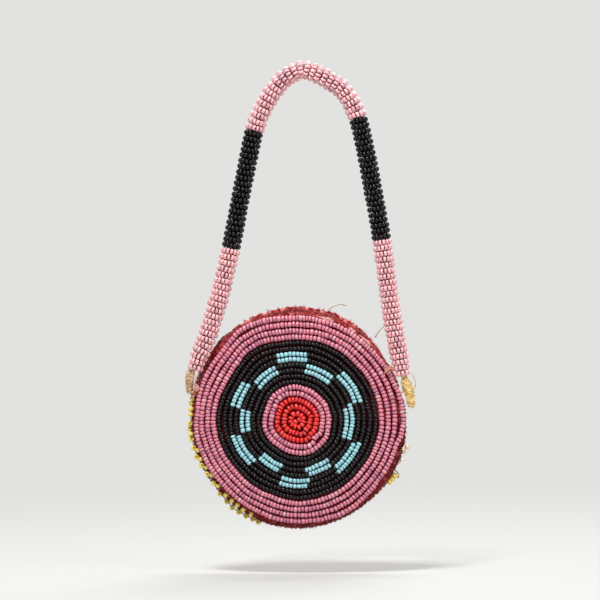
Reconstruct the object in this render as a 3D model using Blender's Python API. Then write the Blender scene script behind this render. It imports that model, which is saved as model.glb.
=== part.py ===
"""A beaded pocket watch pouch on a bead-wrapped strap, for Blender 4.5.

Metres, +Z up, front facing -Y. The origin is the inner face of the strap's arch, where
it hangs. The strap lies in the plane y = 0 and the pouch's sewn seam a little behind it,
so that the bead-heavy front hangs straight under the two ties.
"""

import math

import bmesh
import bpy
from mathutils import Vector

# Beadwork: the width that one lane of each bead takes, from the middle outward
CENTRE_RADIUS = 0.0011
RED_LANE = 0.0022
INNER_ROSE_LANE = 0.0021
DARK_LANE = 0.00186
OUTER_ROSE_LANE = 0.00211
LANE_GAP = 0.00035
LANE_CLEARANCE = 0.0004
LANES = (
    ("red_lane", "red_glass", RED_LANE, 3, 16),
    ("inner_rose_lane", "rose_glass", INNER_ROSE_LANE, 2, 24),
    ("inner_black_lane", "black_glass", DARK_LANE, 2, 32),
    ("inner_dash_lane", "black_glass", DARK_LANE, 2, 32),
    ("outer_dash_lane", "black_glass", DARK_LANE, 2, 32),
    ("outer_black_lane", "black_glass", DARK_LANE, 2, 32),
    ("outer_rose_lane", "rose_glass", OUTER_ROSE_LANE, 4, 32),
)
# Turquoise dashes as first and last angle, clockwise from the top in degrees
DASHES = {
    "inner_dash_lane": ((8, 42), (76, 111), (146, 170), (199, 224), (256, 278), (308, 336)),
    "outer_dash_lane": ((-20, 9), (44, 76), (114, 144), (172, 196), (226, 254), (281, 305)),
}

# Pouch: two domed halves of wool cloth, each lined with hide
RIM_MARGIN = 0.0003
FRONT_DEPTH = 0.009
BACK_DEPTH = 0.0065
BACK_FLAT = 0.012
CLOTH = 0.0012
LINING = 0.0006
CLEARANCE = 0.0003
LINING_CLEARANCE = 0.0004
INNER_CURL = 0.0004
ROUND_STEPS = 32
CROWN_SHARES = (0.25, 0.5, 0.68, 0.8, 0.91, 1.0)
CURL_SHARES = (0.5, 1.0)

# Mouth: the unsewn arc at the top, where both halves stand off the seam
MOUTH_HALF_DEG = 62
MOUTH_FLAT_SHARE = 0.35
MOUTH_LIFT = 0.0024
LIFT_START_SHARE = 0.68
FRONT_RISE = 0.0008
BACK_RISE = 0.0017

# Where the pouch hangs
POUCH_DROP = 0.1141
POUCH_SHIFT = -0.0019
SEAM_SETBACK = 0.0038
HINGE_RISE = 0.0093

# Strap: rows of beads wrapped round a cord, from one side of the pouch's rim to the other
STRAP_RADIUS = 0.0032
ROW_VALLEY = 0.00045
BORE_RADIUS = 0.0016
CORD_RADIUS = 0.00115
STRAP_INSET = 0.00052
STRAP_END_RISE = 0.0123
STRAP_SHARES = (
    (-1.030, 0.988),
    (-1.003, 0.949),
    (-0.948, 0.909),
    (-0.817, 0.757),
    (-0.702, 0.587),
    (-0.574, 0.363),
    (-0.466, 0.189),
    (-0.402, 0.126),
    (-0.317, 0.069),
    (-0.193, 0.023),
    (-0.082, 0.0055),
    (0.005, 0.0),
    (0.115, 0.009),
    (0.254, 0.0295),
    (0.389, 0.066),
    (0.477, 0.120),
    (0.523, 0.158),
    (0.589, 0.248),
    (0.674, 0.403),
    (0.754, 0.560),
    (0.843, 0.791),
    (0.940, 0.977),
    (0.951, 0.999),
)
# Sleeves of beads from the left end to the right: name, glass, rows
SLEEVES = (
    ("left_rose_sleeve", "pale_rose_glass", 21),
    ("left_black_sleeve", "black_glass", 21),
    ("top_rose_sleeve", "pale_rose_glass", 25),
    ("right_black_sleeve", "black_glass", 22),
    ("right_rose_sleeve", "pale_rose_glass", 23),
)
SLEEVE_SHARES = (0.189, 0.184, 0.236, 0.189, 0.202)
TAPER_SHARE = 0.05
END_SHARES = (0.72, 0.86)
CORD_STEP = 0.004

# Ties: knots of hide on the strap's ends, each with a bore for the pouch's thong
THONG_RADIUS = 0.0004
THONG_LENGTH = 0.0033
TIE_RADIUS = 0.0017
TIE_STANDOFF = 0.0005
TIE_LENGTH = 0.0105
TIE_NECK_SHARE = 0.6
THONG_SEAT_DEG = 45
LEFT_TIE_SHARES = ((0.3, -0.1, 0.75), (0.0, 0.45, 1.0), (0.0, 0.7, 0.85), (0.0, 0.95, 0.55))
RIGHT_TIE_SHARES = ((0.1, -0.1, 0.8), (0.0, 0.42, 1.0), (0.3, 0.75, 1.0), (0.45, 1.0, 0.65))

# Edge beads and loose ends of thread
EDGE_BEAD = 0.001
EDGE_THREAD = 0.0003
EDGE_LEAN_DEG = 15
BEAD_END_SHARE = 0.75
LEFT_EDGE_DEG = (-160, -101)
LEFT_EDGE_BEADS = 16
RIGHT_EDGE_DEG = (102, 121)
RIGHT_EDGE_BEADS = 5
SINEW_RADIUS = 0.0003
SINEW_LENGTH = 0.0058
# Each loose end's place on the rim and its lean, clockwise from the top in degrees
MOUTH_SINEW_DEG = (15, 60)
SIDE_SINEW_DEG = (44, 35)

OVERRUN = 0.002
WELD_SHARE = 0.025

COLOURS = {
    "red_glass": ((0.65, 0.03, 0.02), 0.15, 0.0),
    "rose_glass": ((0.72, 0.22, 0.33), 0.2, 0.0),
    "pale_rose_glass": ((0.83, 0.45, 0.48), 0.2, 0.0),
    "black_glass": ((0.008, 0.008, 0.009), 0.12, 0.0),
    "turquoise_glass": ((0.2, 0.62, 0.74), 0.2, 0.0),
    "yellow_glass": ((0.75, 0.5, 0.05), 0.2, 0.0),
    "red_wool": ((0.3, 0.015, 0.025), 0.95, 0.0),
    "hide": ((0.55, 0.36, 0.18), 0.85, 0.0),
    "sinew": ((0.6, 0.5, 0.36), 0.6, 0.0),
    "cord": ((0.5, 0.42, 0.3), 0.9, 0.0),
}


def clear_scene():
    for obj in list(bpy.data.objects):
        bpy.data.objects.remove(obj)


def collection_named(name):
    made = bpy.data.collections.new(name)
    bpy.context.scene.collection.children.link(made)
    return made


def material_named(name):
    found = bpy.data.materials.get(name)
    if found:
        return found
    colour, roughness, metallic = COLOURS[name]
    made = bpy.data.materials.new(name)
    made.use_nodes = True
    shader = made.node_tree.nodes["Principled BSDF"]
    shader.inputs["Base Color"].default_value = (*colour, 1)
    shader.inputs["Roughness"].default_value = roughness
    shader.inputs["Metallic"].default_value = metallic
    made.diffuse_color = (*colour, 1)
    return made


clear_scene()
PARTS = collection_named("watch_pouch")
CUTTERS = collection_named("cutters")


def add_empty(name, location, parent=None):
    empty = bpy.data.objects.new(name, None)
    empty.location = location
    empty.parent = parent
    PARTS.objects.link(empty)
    return empty


def add_part(name, data, parent, material, location=(0, 0, 0)):
    part = bpy.data.objects.new(name, data)
    part.parent = parent
    part.location = location
    data.materials.append(material_named(material))
    PARTS.objects.link(part)
    return part


# The sizes that follow from the beads and from where the pouch hangs
BEADWORK_RADIUS = CENTRE_RADIUS + sum(width * count for _, _, width, count, _ in LANES)
RIM_RADIUS = BEADWORK_RADIUS + RIM_MARGIN
CURL_RADIUS = INNER_CURL + LINING + LINING_CLEARANCE + CLOTH
STRAP_HALF_SPAN = RIM_RADIUS - STRAP_INSET
STRAP_DROP = POUCH_DROP - STRAP_END_RISE
POUCH_CENTRE = Vector((POUCH_SHIFT, SEAM_SETBACK, -POUCH_DROP))
HINGE = Vector((0, 0, HINGE_RISE - POUCH_DROP))


class Dome:
    """The section of one half: flat middle, crown arc and curled rim, tangent to each other."""

    def __init__(self, rim, depth, curl, flat):
        reach = rim - flat - curl
        self.rim = rim
        self.depth = depth
        self.curl = curl
        self.flat = flat
        self.crown = (reach**2 + depth**2 - curl**2) / (2 * (depth - curl))
        self.turn = math.asin(reach / (self.crown - curl))

    def on_crown(self, angle, proud):
        size = self.crown + proud
        height = self.depth - self.crown + size * math.cos(angle)
        return self.flat + size * math.sin(angle), height

    def on_curl(self, angle, proud):
        size = self.curl + proud
        return self.rim - self.curl + size * math.sin(angle), size * math.cos(angle)

    def over(self, radius, proud):
        """Radius and height of a point that far proud of the face, seen at a radius."""
        if radius <= self.flat:
            return radius, self.depth + proud
        angle = math.asin((radius - self.flat) / (self.crown + proud))
        if angle <= self.turn:
            return self.on_crown(angle, proud)
        out = (radius - self.rim + self.curl) / (self.curl + proud)
        return self.on_curl(math.asin(min(out, 1)), proud)

    def profile(self, proud):
        """Points from the middle to the edge that meets the seam."""
        points = [(0.0, self.depth + proud)]
        if self.flat:
            points.append((self.flat, self.depth + proud))
        points += [self.on_crown(self.turn * share, proud) for share in CROWN_SHARES]
        last = math.acos(CLEARANCE / 2 / (self.curl + proud))
        for share in CURL_SHARES:
            points.append(self.on_curl(self.turn + (last - self.turn) * share, proud))
        return points


FRONT = Dome(RIM_RADIUS, FRONT_DEPTH, CURL_RADIUS, 0)
BACK = Dome(RIM_RADIUS, BACK_DEPTH, CURL_RADIUS, BACK_FLAT)


def smooth(share):
    share = min(max(share, 0), 1)
    return share * share * (3 - 2 * share)


def mouth_share(azimuth):
    """1 in the middle of the mouth, 0 at its corners and round the sewn edge."""
    away = abs(math.remainder(azimuth, math.tau)) / math.radians(MOUTH_HALF_DEG)
    return 1 - smooth((away - MOUTH_FLAT_SHARE) / (1 - MOUTH_FLAT_SHARE))


def pouch_point(radius, height, azimuth, front):
    """A point of the pouch from its centre, with the mouth's lift and rise."""
    near_rim = smooth((radius / RIM_RADIUS - LIFT_START_SHARE) / (1 - LIFT_START_SHARE))
    opened = near_rim * mouth_share(azimuth)
    radius += opened * (FRONT_RISE if front else BACK_RISE)
    height += opened * MOUTH_LIFT
    depth = -height if front else height
    return Vector((radius * math.sin(azimuth), depth, radius * math.cos(azimuth)))


def azimuth_of(point):
    return math.atan2(point.x, point.z)


def shell(name, dome, front, inset, thickness, material):
    """One half's cloth or lining: both faces of its section, spun and opened at the mouth."""
    section = dome.profile(-inset) + dome.profile(-inset - thickness)[::-1]
    bm = bmesh.new()
    row = [bm.verts.new((radius, 0, height)) for radius, height in section]
    edges = [bm.edges.new(pair) for pair in zip(row, row[1:])]
    bmesh.ops.spin(
        bm,
        geom=row + edges,
        axis=(0, 0, 1),
        cent=(0, 0, 0),
        steps=ROUND_STEPS,
        angle=math.tau,
        use_merge=True,
    )
    bmesh.ops.remove_doubles(bm, verts=bm.verts, dist=CLEARANCE / 10)
    for vert in bm.verts:
        radius = math.hypot(vert.co.x, vert.co.y)
        azimuth = math.atan2(vert.co.x, vert.co.y)
        vert.co = pouch_point(radius, vert.co.z, azimuth, front)
    bmesh.ops.recalc_face_normals(bm, faces=bm.faces)
    if bm.calc_volume(signed=True) < 0:
        bmesh.ops.reverse_faces(bm, faces=bm.faces)
    mesh = bpy.data.meshes.new(name)
    bm.to_mesh(mesh)
    bm.free()
    mesh.shade_smooth()
    return add_part(name, mesh, POUCH, material, POUCH_CENTRE - HINGE)


def tube(name, points, radius, material, parent, shares=None, fine=2, closed=False, at=(0, 0, 0)):
    """A round tube through the points, its radius times the share at each of them."""
    curve = bpy.data.curves.new(name, "CURVE")
    curve.dimensions = "3D"
    curve.bevel_depth = radius
    curve.bevel_resolution = fine
    curve.use_fill_caps = True
    spline = curve.splines.new("POLY")
    spline.points.add(len(points) - 1)
    for index, (point, place) in enumerate(zip(spline.points, points)):
        point.co = (*place, 1)
        point.radius = shares[index] if shares else 1
    spline.use_cyclic_u = closed
    spline.use_smooth = True
    return add_part(name, curve, parent, material, at)


def as_mesh(part):
    """Turns a tube into a mesh with its caps welded, so that it can be cut or can cut."""
    bpy.context.view_layer.update()
    graph = bpy.context.evaluated_depsgraph_get()
    mesh = bpy.data.meshes.new_from_object(part.evaluated_get(graph))
    bm = bmesh.new()
    bm.from_mesh(mesh)
    bmesh.ops.remove_doubles(bm, verts=bm.verts, dist=THONG_RADIUS * WELD_SHARE)
    bmesh.ops.recalc_face_normals(bm, faces=bm.faces)
    bm.to_mesh(mesh)
    bm.free()
    name = part.name
    solid = bpy.data.objects.new(name, mesh)
    solid.parent = part.parent
    solid.matrix_world = part.matrix_world
    part.users_collection[0].objects.link(solid)
    bpy.data.objects.remove(part)
    solid.name = name
    return solid


def as_cutter(part):
    cutter = as_mesh(part)
    PARTS.objects.unlink(cutter)
    CUTTERS.objects.link(cutter)
    cutter.hide_render = True
    cutter.display_type = "WIRE"
    return cutter


def cut(part, cutter):
    hole = part.modifiers.new("hole", "BOOLEAN")
    hole.operation = "DIFFERENCE"
    hole.object = cutter


def over_front(radius, azimuth, proud):
    """A point that far proud of the opened front cloth, seen at a radius."""
    seat = radius
    for _ in range(3):
        foot, further = (
            pouch_point(*FRONT.over(spot, 0), azimuth, True) for spot in (seat, seat + LANE_GAP)
        )
        along = further - foot
        tangent = Vector((math.cos(azimuth), 0, -math.sin(azimuth)))
        normal = along.cross(tangent).normalized()
        if normal.y > 0:
            normal.negate()
        point = foot + normal * proud
        seat += radius - math.hypot(point.x, point.z)
    return point


def lane_points(radius, bead, steps):
    """The ring that a lane's bead centres follow over the front cloth."""
    turns = [math.tau * step / steps for step in range(steps)]
    return [over_front(radius, turn, LANE_CLEARANCE + bead) for turn in turns]


def in_dash(azimuth, dashes):
    degrees = math.degrees(azimuth)
    return any((degrees - first) % 360 <= last - first for first, last in dashes)


def paint_dashes(part, dashes):
    """Gives the faces along each dash the turquoise glass."""
    solid = as_mesh(part)
    solid.data.materials.append(material_named("turquoise_glass"))
    for face in solid.data.polygons:
        face.material_index = int(in_dash(azimuth_of(face.center), dashes))


def make_beadwork():
    middle = bmesh.new()
    bmesh.ops.create_uvsphere(middle, u_segments=12, v_segments=8, radius=CENTRE_RADIUS)
    mesh = bpy.data.meshes.new("centre_bead")
    middle.to_mesh(mesh)
    middle.free()
    mesh.shade_smooth()
    bead = CENTRE_RADIUS - LANE_GAP / 2
    bead_share = bead / CENTRE_RADIUS
    seat = pouch_point(0, FRONT_DEPTH + LANE_CLEARANCE + bead, 0, True)
    centre = add_part("centre_bead", mesh, POUCH, "red_glass", POUCH_CENTRE - HINGE + seat)
    centre.scale = (bead_share, bead_share, bead_share)
    edge = CENTRE_RADIUS
    for name, material, width, count, steps in LANES:
        bead = (width - LANE_GAP) / 2
        for number in range(1, count + 1):
            points = lane_points(edge + width / 2, bead, steps)
            lane = tube(
                f"{name}_{number}",
                points,
                bead,
                material,
                POUCH,
                fine=1,
                closed=True,
                at=POUCH_CENTRE - HINGE,
            )
            if name in DASHES:
                paint_dashes(lane, DASHES[name])
            edge += width


def make_pouch():
    lining = CLOTH + LINING_CLEARANCE
    shell("front_cloth", FRONT, True, 0, CLOTH, "red_wool")
    shell("back_cloth", BACK, False, 0, CLOTH, "red_wool")
    shell("front_lining", FRONT, True, lining, LINING, "hide")
    shell("back_lining", BACK, False, lining, LINING, "hide")


def smooth_path(points, step):
    """Points about a step apart on a smooth curve through the given ones."""
    slopes = []
    for index, point in enumerate(points):
        before = points[max(index - 1, 0)]
        after = points[min(index + 1, len(points) - 1)]
        slopes.append((after - before) / ((after - point).length + (point - before).length))
    path = []
    for first, second, leaving, arriving in zip(points, points[1:], slopes, slopes[1:]):
        chord = (second - first).length
        pieces = max(1, round(chord / step))
        for piece in range(pieces):
            t = piece / pieces
            path.append(
                first * (2 * t**3 - 3 * t**2 + 1)
                + second * (3 * t**2 - 2 * t**3)
                + leaving * chord * (t**3 - 2 * t**2 + t)
                + arriving * chord * (t**3 - t**2)
            )
    return [*path, points[-1]]


class Route:
    """The strap's middle line, read by the distance along it."""

    def __init__(self, points):
        self.points = smooth_path(points, CORD_STEP / 8)
        self.marks = [0.0]
        for first, second in zip(self.points, self.points[1:]):
            self.marks.append(self.marks[-1] + (second - first).length)
        self.length = self.marks[-1]

    def at(self, distance):
        last = len(self.marks) - 2
        index = next((i for i in range(last) if self.marks[i + 1] >= distance), last)
        start, end = self.marks[index], self.marks[index + 1]
        first, second = self.points[index], self.points[index + 1]
        return first + (second - first) * ((distance - start) / (end - start))


STRAP = Route(
    [
        Vector((across * STRAP_HALF_SPAN, 0, STRAP_RADIUS - down * STRAP_DROP))
        for across, down in STRAP_SHARES
    ]
)


def strap_share(distance):
    """How much of its full radius the strap has there: less at its two ends."""
    shares = []
    for end_share, from_end in zip(END_SHARES, (distance, STRAP.length - distance)):
        inward = smooth(from_end / (TAPER_SHARE * STRAP.length))
        shares.append(end_share + (1 - end_share) * inward)
    return min(shares)


def make_sleeve(name, material, start, end, rows):
    """Rows of beads as ribs on a tube, with a bore for the cord."""
    spots = [start + (end - start) * step / (2 * rows) for step in range(2 * rows + 1)]
    valley = 1 - ROW_VALLEY / STRAP_RADIUS
    shares = [
        strap_share(spot) * (1 if step % 2 else valley) for step, spot in enumerate(spots)
    ]
    points = [STRAP.at(spot) for spot in spots]
    sleeve = as_mesh(tube(name, points, STRAP_RADIUS, material, STRAP_BODY, shares=shares))
    run = STRAP.at(start) - STRAP.at(start + CORD_STEP)
    ahead = STRAP.at(end) - STRAP.at(end - CORD_STEP)
    through = [points[0] + run.normalized() * OVERRUN]
    through += points[::2]
    through.append(points[-1] + ahead.normalized() * OVERRUN)
    bore = as_cutter(tube(name + "_bore", through, BORE_RADIUS, material, STRAP_BODY))
    cut(sleeve, bore)
    sleeve.data.shade_smooth()


def make_strap():
    steps = round(STRAP.length / CORD_STEP)
    cord = [STRAP.at(STRAP.length * step / steps) for step in range(steps + 1)]
    tube("strap_cord", cord, CORD_RADIUS, "cord", STRAP_BODY, fine=1)
    start = 0
    for (name, material, rows), share in zip(SLEEVES, SLEEVE_SHARES):
        end = start + share * STRAP.length
        make_sleeve(name, material, start + CLEARANCE / 2, end - CLEARANCE / 2, rows)
        start = end


def rim_side(side):
    """Where the pouch's rim is widest at the height of the hinge, left -1 or right 1."""
    return POUCH_SHIFT + side * math.sqrt(RIM_RADIUS**2 - HINGE_RISE**2)


def make_tie(name, side, shares):
    """A knot hanging from the strap's end past the hinge, bored through along the hinge."""
    end = STRAP.points[0] if side < 0 else STRAP.points[-1]
    middle = rim_side(side) + side * (TIE_STANDOFF + TIE_RADIUS)
    top = Vector((end.x, 0, end.z - CLEARANCE - TIE_RADIUS / 2))
    points = [top + (end - top) / 2]
    radii = [TIE_NECK_SHARE]
    for out, down, size in shares:
        across = middle + side * out * TIE_RADIUS
        drop = top.z - down * TIE_LENGTH
        if down < 0:
            across = (end.x + middle) / 2
            drop = top.z + down * TIE_LENGTH
        points.append(Vector((across, 0, drop)))
        radii.append(size)
    tie = as_mesh(tube(name, points, TIE_RADIUS, "hide", STRAP_BODY, shares=radii))
    bore_ends = [Vector((middle + reach * 2 * TIE_RADIUS, 0, HINGE.z)) for reach in (-1, 1)]
    bore = tube(name + "_bore", bore_ends, THONG_RADIUS + CLEARANCE, "hide", STRAP_BODY)
    cut(tie, as_cutter(bore))


def make_thong(name, side):
    """A thong sewn to the rim that ends in the tie's bore, on the hinge."""
    out_angle = math.radians(THONG_SEAT_DEG)
    reach = CURL_RADIUS + CLEARANCE + THONG_RADIUS / 2
    curl_centre = rim_side(side) - side * CURL_RADIUS
    seat_x = curl_centre + side * reach * math.sin(out_angle)
    seat_y = SEAM_SETBACK - reach * math.cos(out_angle)
    knee_x = rim_side(side)
    tie_x = knee_x + side * TIE_STANDOFF
    points = [
        Vector((seat_x, seat_y, 0)),
        Vector(((seat_x + knee_x) / 2, seat_y / 3, 0)),
        Vector((knee_x, 0, 0)),
        Vector((tie_x + side * THONG_LENGTH, 0, 0)),
    ]
    tube(name, points, THONG_RADIUS, "hide", POUCH)


def edge_string(name, degrees, beads, material):
    """Beads on a thread along the rim, as one tube that swells at each bead."""
    first, last = (math.radians(angle) for angle in degrees)
    away = CURL_RADIUS + CLEARANCE + EDGE_BEAD
    lean = math.radians(EDGE_LEAN_DEG)
    radius = RIM_RADIUS - CURL_RADIUS + away * math.cos(lean)
    height = away * math.sin(lean)
    points = []
    shares = []
    swell_shares = (BEAD_END_SHARE, 1, BEAD_END_SHARE, EDGE_THREAD / EDGE_BEAD)
    for step in range(4 * beads - 1):
        turn = first + (last - first) * step / (4 * beads - 2)
        points.append(pouch_point(radius, height, turn, True))
        shares.append(swell_shares[step % 4])
    tube(name, points, EDGE_BEAD, material, POUCH, shares=shares, fine=1, at=POUCH_CENTRE - HINGE)


def loose_end(name, degrees):
    """A cut end of sinew standing up from the back cloth's mouth edge."""
    turn, lean = (math.radians(angle) for angle in degrees)
    inside = BACK.curl - CLOTH / 2
    foot = pouch_point(BACK.rim - BACK.curl + inside, 0, turn, False)
    start = foot * (1 + (CLOTH / 2 + CLEARANCE + SINEW_RADIUS) / foot.length)
    start.y = foot.y
    along = Vector((math.sin(lean), 0, math.cos(lean)))
    side = Vector((math.cos(lean), 0, -math.sin(lean)))
    points = [
        start,
        start + along * SINEW_LENGTH / 3 + side * SINEW_RADIUS,
        start + along * SINEW_LENGTH * 2 / 3 - side * SINEW_RADIUS,
        start + along * SINEW_LENGTH,
    ]
    tube(name, points, SINEW_RADIUS, "sinew", POUCH, fine=1, at=POUCH_CENTRE - HINGE)


STRAP_BODY = add_empty("strap", (0, 0, 0))
POUCH = add_empty("pouch", HINGE, STRAP_BODY)

make_pouch()
make_beadwork()
make_strap()
make_tie("left_tie", -1, LEFT_TIE_SHARES)
make_tie("right_tie", 1, RIGHT_TIE_SHARES)
make_thong("left_thong", -1)
make_thong("right_thong", 1)
edge_string("yellow_edging", LEFT_EDGE_DEG, LEFT_EDGE_BEADS, "yellow_glass")
edge_string("right_edging", RIGHT_EDGE_DEG, RIGHT_EDGE_BEADS, "yellow_glass")
loose_end("mouth_sinew", MOUTH_SINEW_DEG)
loose_end("side_sinew", SIDE_SINEW_DEG)
print(f"rim radius {RIM_RADIUS:.5f} m, strap length {STRAP.length:.4f} m")
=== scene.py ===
"""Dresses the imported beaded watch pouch: glass beads one by one, wool, hide, thread and stage.

Metres, +Z up, front facing -Y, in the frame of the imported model. The strap hangs in the
plane y = 0 from the inner face of its arch, which is the origin.
"""

import bisect
import math
import random
from functools import partial

import bpy
import numpy as np
from bpy.props import FloatProperty, FloatVectorProperty, IntProperty, PointerProperty
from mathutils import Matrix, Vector, noise


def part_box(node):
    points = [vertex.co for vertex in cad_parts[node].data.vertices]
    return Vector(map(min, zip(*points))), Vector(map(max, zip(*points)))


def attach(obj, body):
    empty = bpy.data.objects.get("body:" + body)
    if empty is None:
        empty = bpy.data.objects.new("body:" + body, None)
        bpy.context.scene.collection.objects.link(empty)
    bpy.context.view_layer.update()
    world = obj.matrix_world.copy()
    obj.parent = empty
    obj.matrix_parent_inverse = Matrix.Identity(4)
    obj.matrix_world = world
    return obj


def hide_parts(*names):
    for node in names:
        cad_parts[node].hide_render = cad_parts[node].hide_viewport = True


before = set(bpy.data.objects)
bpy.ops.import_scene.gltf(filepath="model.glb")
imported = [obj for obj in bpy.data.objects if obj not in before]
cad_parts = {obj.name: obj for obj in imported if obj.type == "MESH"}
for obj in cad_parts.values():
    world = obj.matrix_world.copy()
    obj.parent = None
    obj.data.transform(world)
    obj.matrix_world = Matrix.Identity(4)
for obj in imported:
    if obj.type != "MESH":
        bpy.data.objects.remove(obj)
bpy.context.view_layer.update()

bl_info = {
    "name": "Beaded Watch Pouch",
    "version": (1, 0, 0),
    "blender": (4, 5, 0),
    "location": "3D View > Sidebar > Watch Pouch",
    "description": "Beads, wool, hide and thread for the packed watch pouch",
    "category": "Object",
}

# The beads in the middle: how far they reach, and where the two lie across and up
CENTRE_RADIUS = 0.0011
CENTRE_PAIR = ((0.0006, 0.0002), (-0.0006, -0.0005))
# Lanes of beads from the middle outward: name, glass, width of one lane, number of lanes
LANES = (
    ("red_lane", "red", 0.0022, 3),
    ("inner_rose_lane", "rose", 0.0021, 2),
    ("inner_black_lane", "black", 0.00186, 2),
    ("inner_dash_lane", "black", 0.00186, 2),
    ("outer_dash_lane", "black", 0.00186, 2),
    ("outer_black_lane", "black", 0.00186, 2),
    ("outer_rose_lane", "rose", 0.00211, 4),
)
# Room round the middle's beads, between lanes of beads, and between the beads and the cloth
LANE_GAP = 0.00035
BEAD_GAP = 0.00022
LANE_CLEARANCE = 0.0004
# A stitch over the lane's thread: how far sideways and up, as shares of a bead's radius
STITCH = ((-0.85, -0.95), (-0.6, -0.1), (-0.25, 0.26), (0.25, 0.26), (0.6, -0.1), (0.85, -0.95))
# How much of its room along the thread a bead fills
BEAD_FILL = 0.92
# How far a bead's axis leans, as a share of its length
BEAD_LEAN = 0.09
# The beadwork's radius, and the two radii between which the cloth under the black beads takes its
# deepest painted shade
BEADWORK_RADIUS = 0.03522
DARK_LANES = (0.0121, 0.0266)
# Turquoise dashes as first and last angle, clockwise from the top in degrees
DASHES = {
    "inner_dash_lane": ((9, 41), (74, 110), (143, 170), (199, 227), (258, 281), (310, 337)),
    "outer_dash_lane": ((-19, 10), (43, 74), (111, 142), (170, 196), (227, 256), (283, 307)),
}
# How far outward the sewing sways every 12 degrees, in tenths of a millimetre, at a radius
SWAY_DEG = 12
SWAY_UNIT = 0.0001
SWAY = (
    (0.0, (0,) * 30),
    (
        0.0080,
        (2, 0, -2, -3, -3, -2, -1, -1, -4, -3, -1, -5, 2, 7, 4,
         0, -2, -3, 0, 0, 2, 4, 1, -1, 1, 0, 6, 7, 7, 4),
    ),
    (
        0.0118,
        (1, -3, -4, -4, -5, -4, -6, -3, -4, -2, 2, 0, 1, 1, 2,
         -1, -1, -4, -7, -4, -1, 1, 0, -1, -4, -2, 1, 2, 4, 3),
    ),
    (
        0.0269,
        (-1, 1, 0, -1, -3, -1, 1, 2, 4, 1, -1, -3, 0, -1, 0,
         1, -4, -7, -5, -7, -4, -1, 3, 3, -1, -5, 0, 9, 8, 0),
    ),
    (
        0.0350,
        (-2, -3, -3, -4, -4, 0, 4, 8, 6, -1, -2, -2, 1, 3, 0,
         -3, -5, -10, -13, -14, -12, -7, -3, -5, -5, -4, -3, 6, 7, 2),
    ),
)
# Where single lanes stray, in degrees, metres and degrees: middle, how far outward, how wide
STRAYS = {
    "red_lane_2": ((70, 0.0005, 14), (158, 0.0003, 9)),
    "inner_rose_lane_1": ((134, -0.0003, 6), (148, 0.0004, 4)),
    "inner_rose_lane_2": ((134, 0.0003, 12),),
    "outer_rose_lane_4": ((-86, -0.0005, 4), (126, -0.0004, 3)),
}
# How far the raw edge of the wool stands out past the seam: degrees and metres
FLARE = (
    (-180, 0.0009), (-165, 0.0008), (-150, 0.0003), (-135, 0.0), (-66, 0.0), (-60, 0.0006),
    (-52, 0.0010), (-44, 0.0008), (-30, 0.0002), (-12, 0.0003), (0, 0.0005), (12, 0.0004),
    (30, 0.0002), (50, 0.0), (72, 0.0002), (86, 0.0007), (104, 0.0012), (124, 0.0012),
    (140, 0.0008), (180, 0.0009),
)
FLARE_DEG = [degrees for degrees, _ in FLARE]
# Where the back's rim is pressed flatter, so that the strap's end clears it when the pouch
# swings: degrees, how wide, what share of its height
PRESSED = (78, 10, 0.48)

# The pouch's shape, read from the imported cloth
CLOTH_LOW, CLOTH_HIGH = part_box("front_cloth")
RIM_RADIUS = (CLOTH_HIGH.x - CLOTH_LOW.x) / 2
SEAM_HALF_GAP = 0.00015
CENTRE = Vector(
    (
        (CLOTH_LOW.x + CLOTH_HIGH.x) / 2,
        CLOTH_HIGH.y + SEAM_HALF_GAP,
        CLOTH_LOW.z + RIM_RADIUS,
    )
)
FRONT_DEPTH = CENTRE.y - CLOTH_LOW.y
BACK_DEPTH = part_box("back_cloth")[1].y - CENTRE.y
BACK_FLAT = 0.012
# Thickness of the wool and of the hide, and the room between them
CLOTH = 0.0012
LINING = 0.0006
LINING_CLEARANCE = 0.0004
CURL_RADIUS = 0.0026
# The mouth: half its width, the share of it that is open in full, how far it lifts, the share of
# the radius from which it does, and how far each half's lip rises
MOUTH_HALF_DEG = 62
MOUTH_FLAT_SHARE = 0.35
MOUTH_LIFT = 0.0024
LIFT_START_SHARE = 0.68
FRONT_RISE = 0.0008
BACK_RISE = 0.0017
# Where the rows of fibres and stitches on the sewn edge start and end, clockwise from the top
SEWN_DEG = (66, 294)
# The mouth's left corner, where the wool frays most
CORNER_DEG = (-71, -56)
# Steps of a shell round the pouch, over its crown and over its curled rim
ROUND_STEPS = 840
CROWN_STEPS = 14
CURL_STEPS = 9

# A bead's form: points round its section, sections round its hole, and its hole
RING_SECTION = 10
RING_SEGMENTS = 14
HOLE_SHARE = 0.18

# The strap's middle line, as shares of its half span and of its drop
STRAP_RADIUS = 0.0032
STRAP_HALF_SPAN = 0.035
STRAP_DROP = 0.1018
STRAP_SHARES = (
    (-1.030, 0.988), (-1.003, 0.949), (-0.948, 0.909), (-0.808, 0.757), (-0.690, 0.587),
    (-0.564, 0.363), (-0.457, 0.191), (-0.388, 0.131), (-0.298, 0.078), (-0.180, 0.031),
    (-0.076, 0.010), (0.005, 0.001), (0.111, 0.012), (0.245, 0.035), (0.384, 0.070),
    (0.477, 0.120), (0.523, 0.158), (0.589, 0.248), (0.674, 0.403), (0.754, 0.560),
    (0.843, 0.791), (0.940, 0.977), (0.951, 0.999),
)
# Sleeves from the left end to the right: name, glass, share of the length, rows
SLEEVES = (
    ("left_rose_sleeve", "pale_rose", 0.1915, 21),
    ("left_black_sleeve", "black", 0.1786, 21),
    ("top_rose_sleeve", "pale_rose", 0.2379, 25),
    ("right_black_sleeve", "black", 0.1853, 22),
    ("right_rose_sleeve", "pale_rose", 0.2067, 24),
)
# Over what share of the length each end thins, and how much of the radius is left there
TAPER_SHARE = 0.03
END_SHARES = (0.8, 0.84)
BEADED_RADIUS = 0.00338
# How far the beads reach past the start and the end of the line
BEADS_PAST = (0.0004, 0.001)
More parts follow.
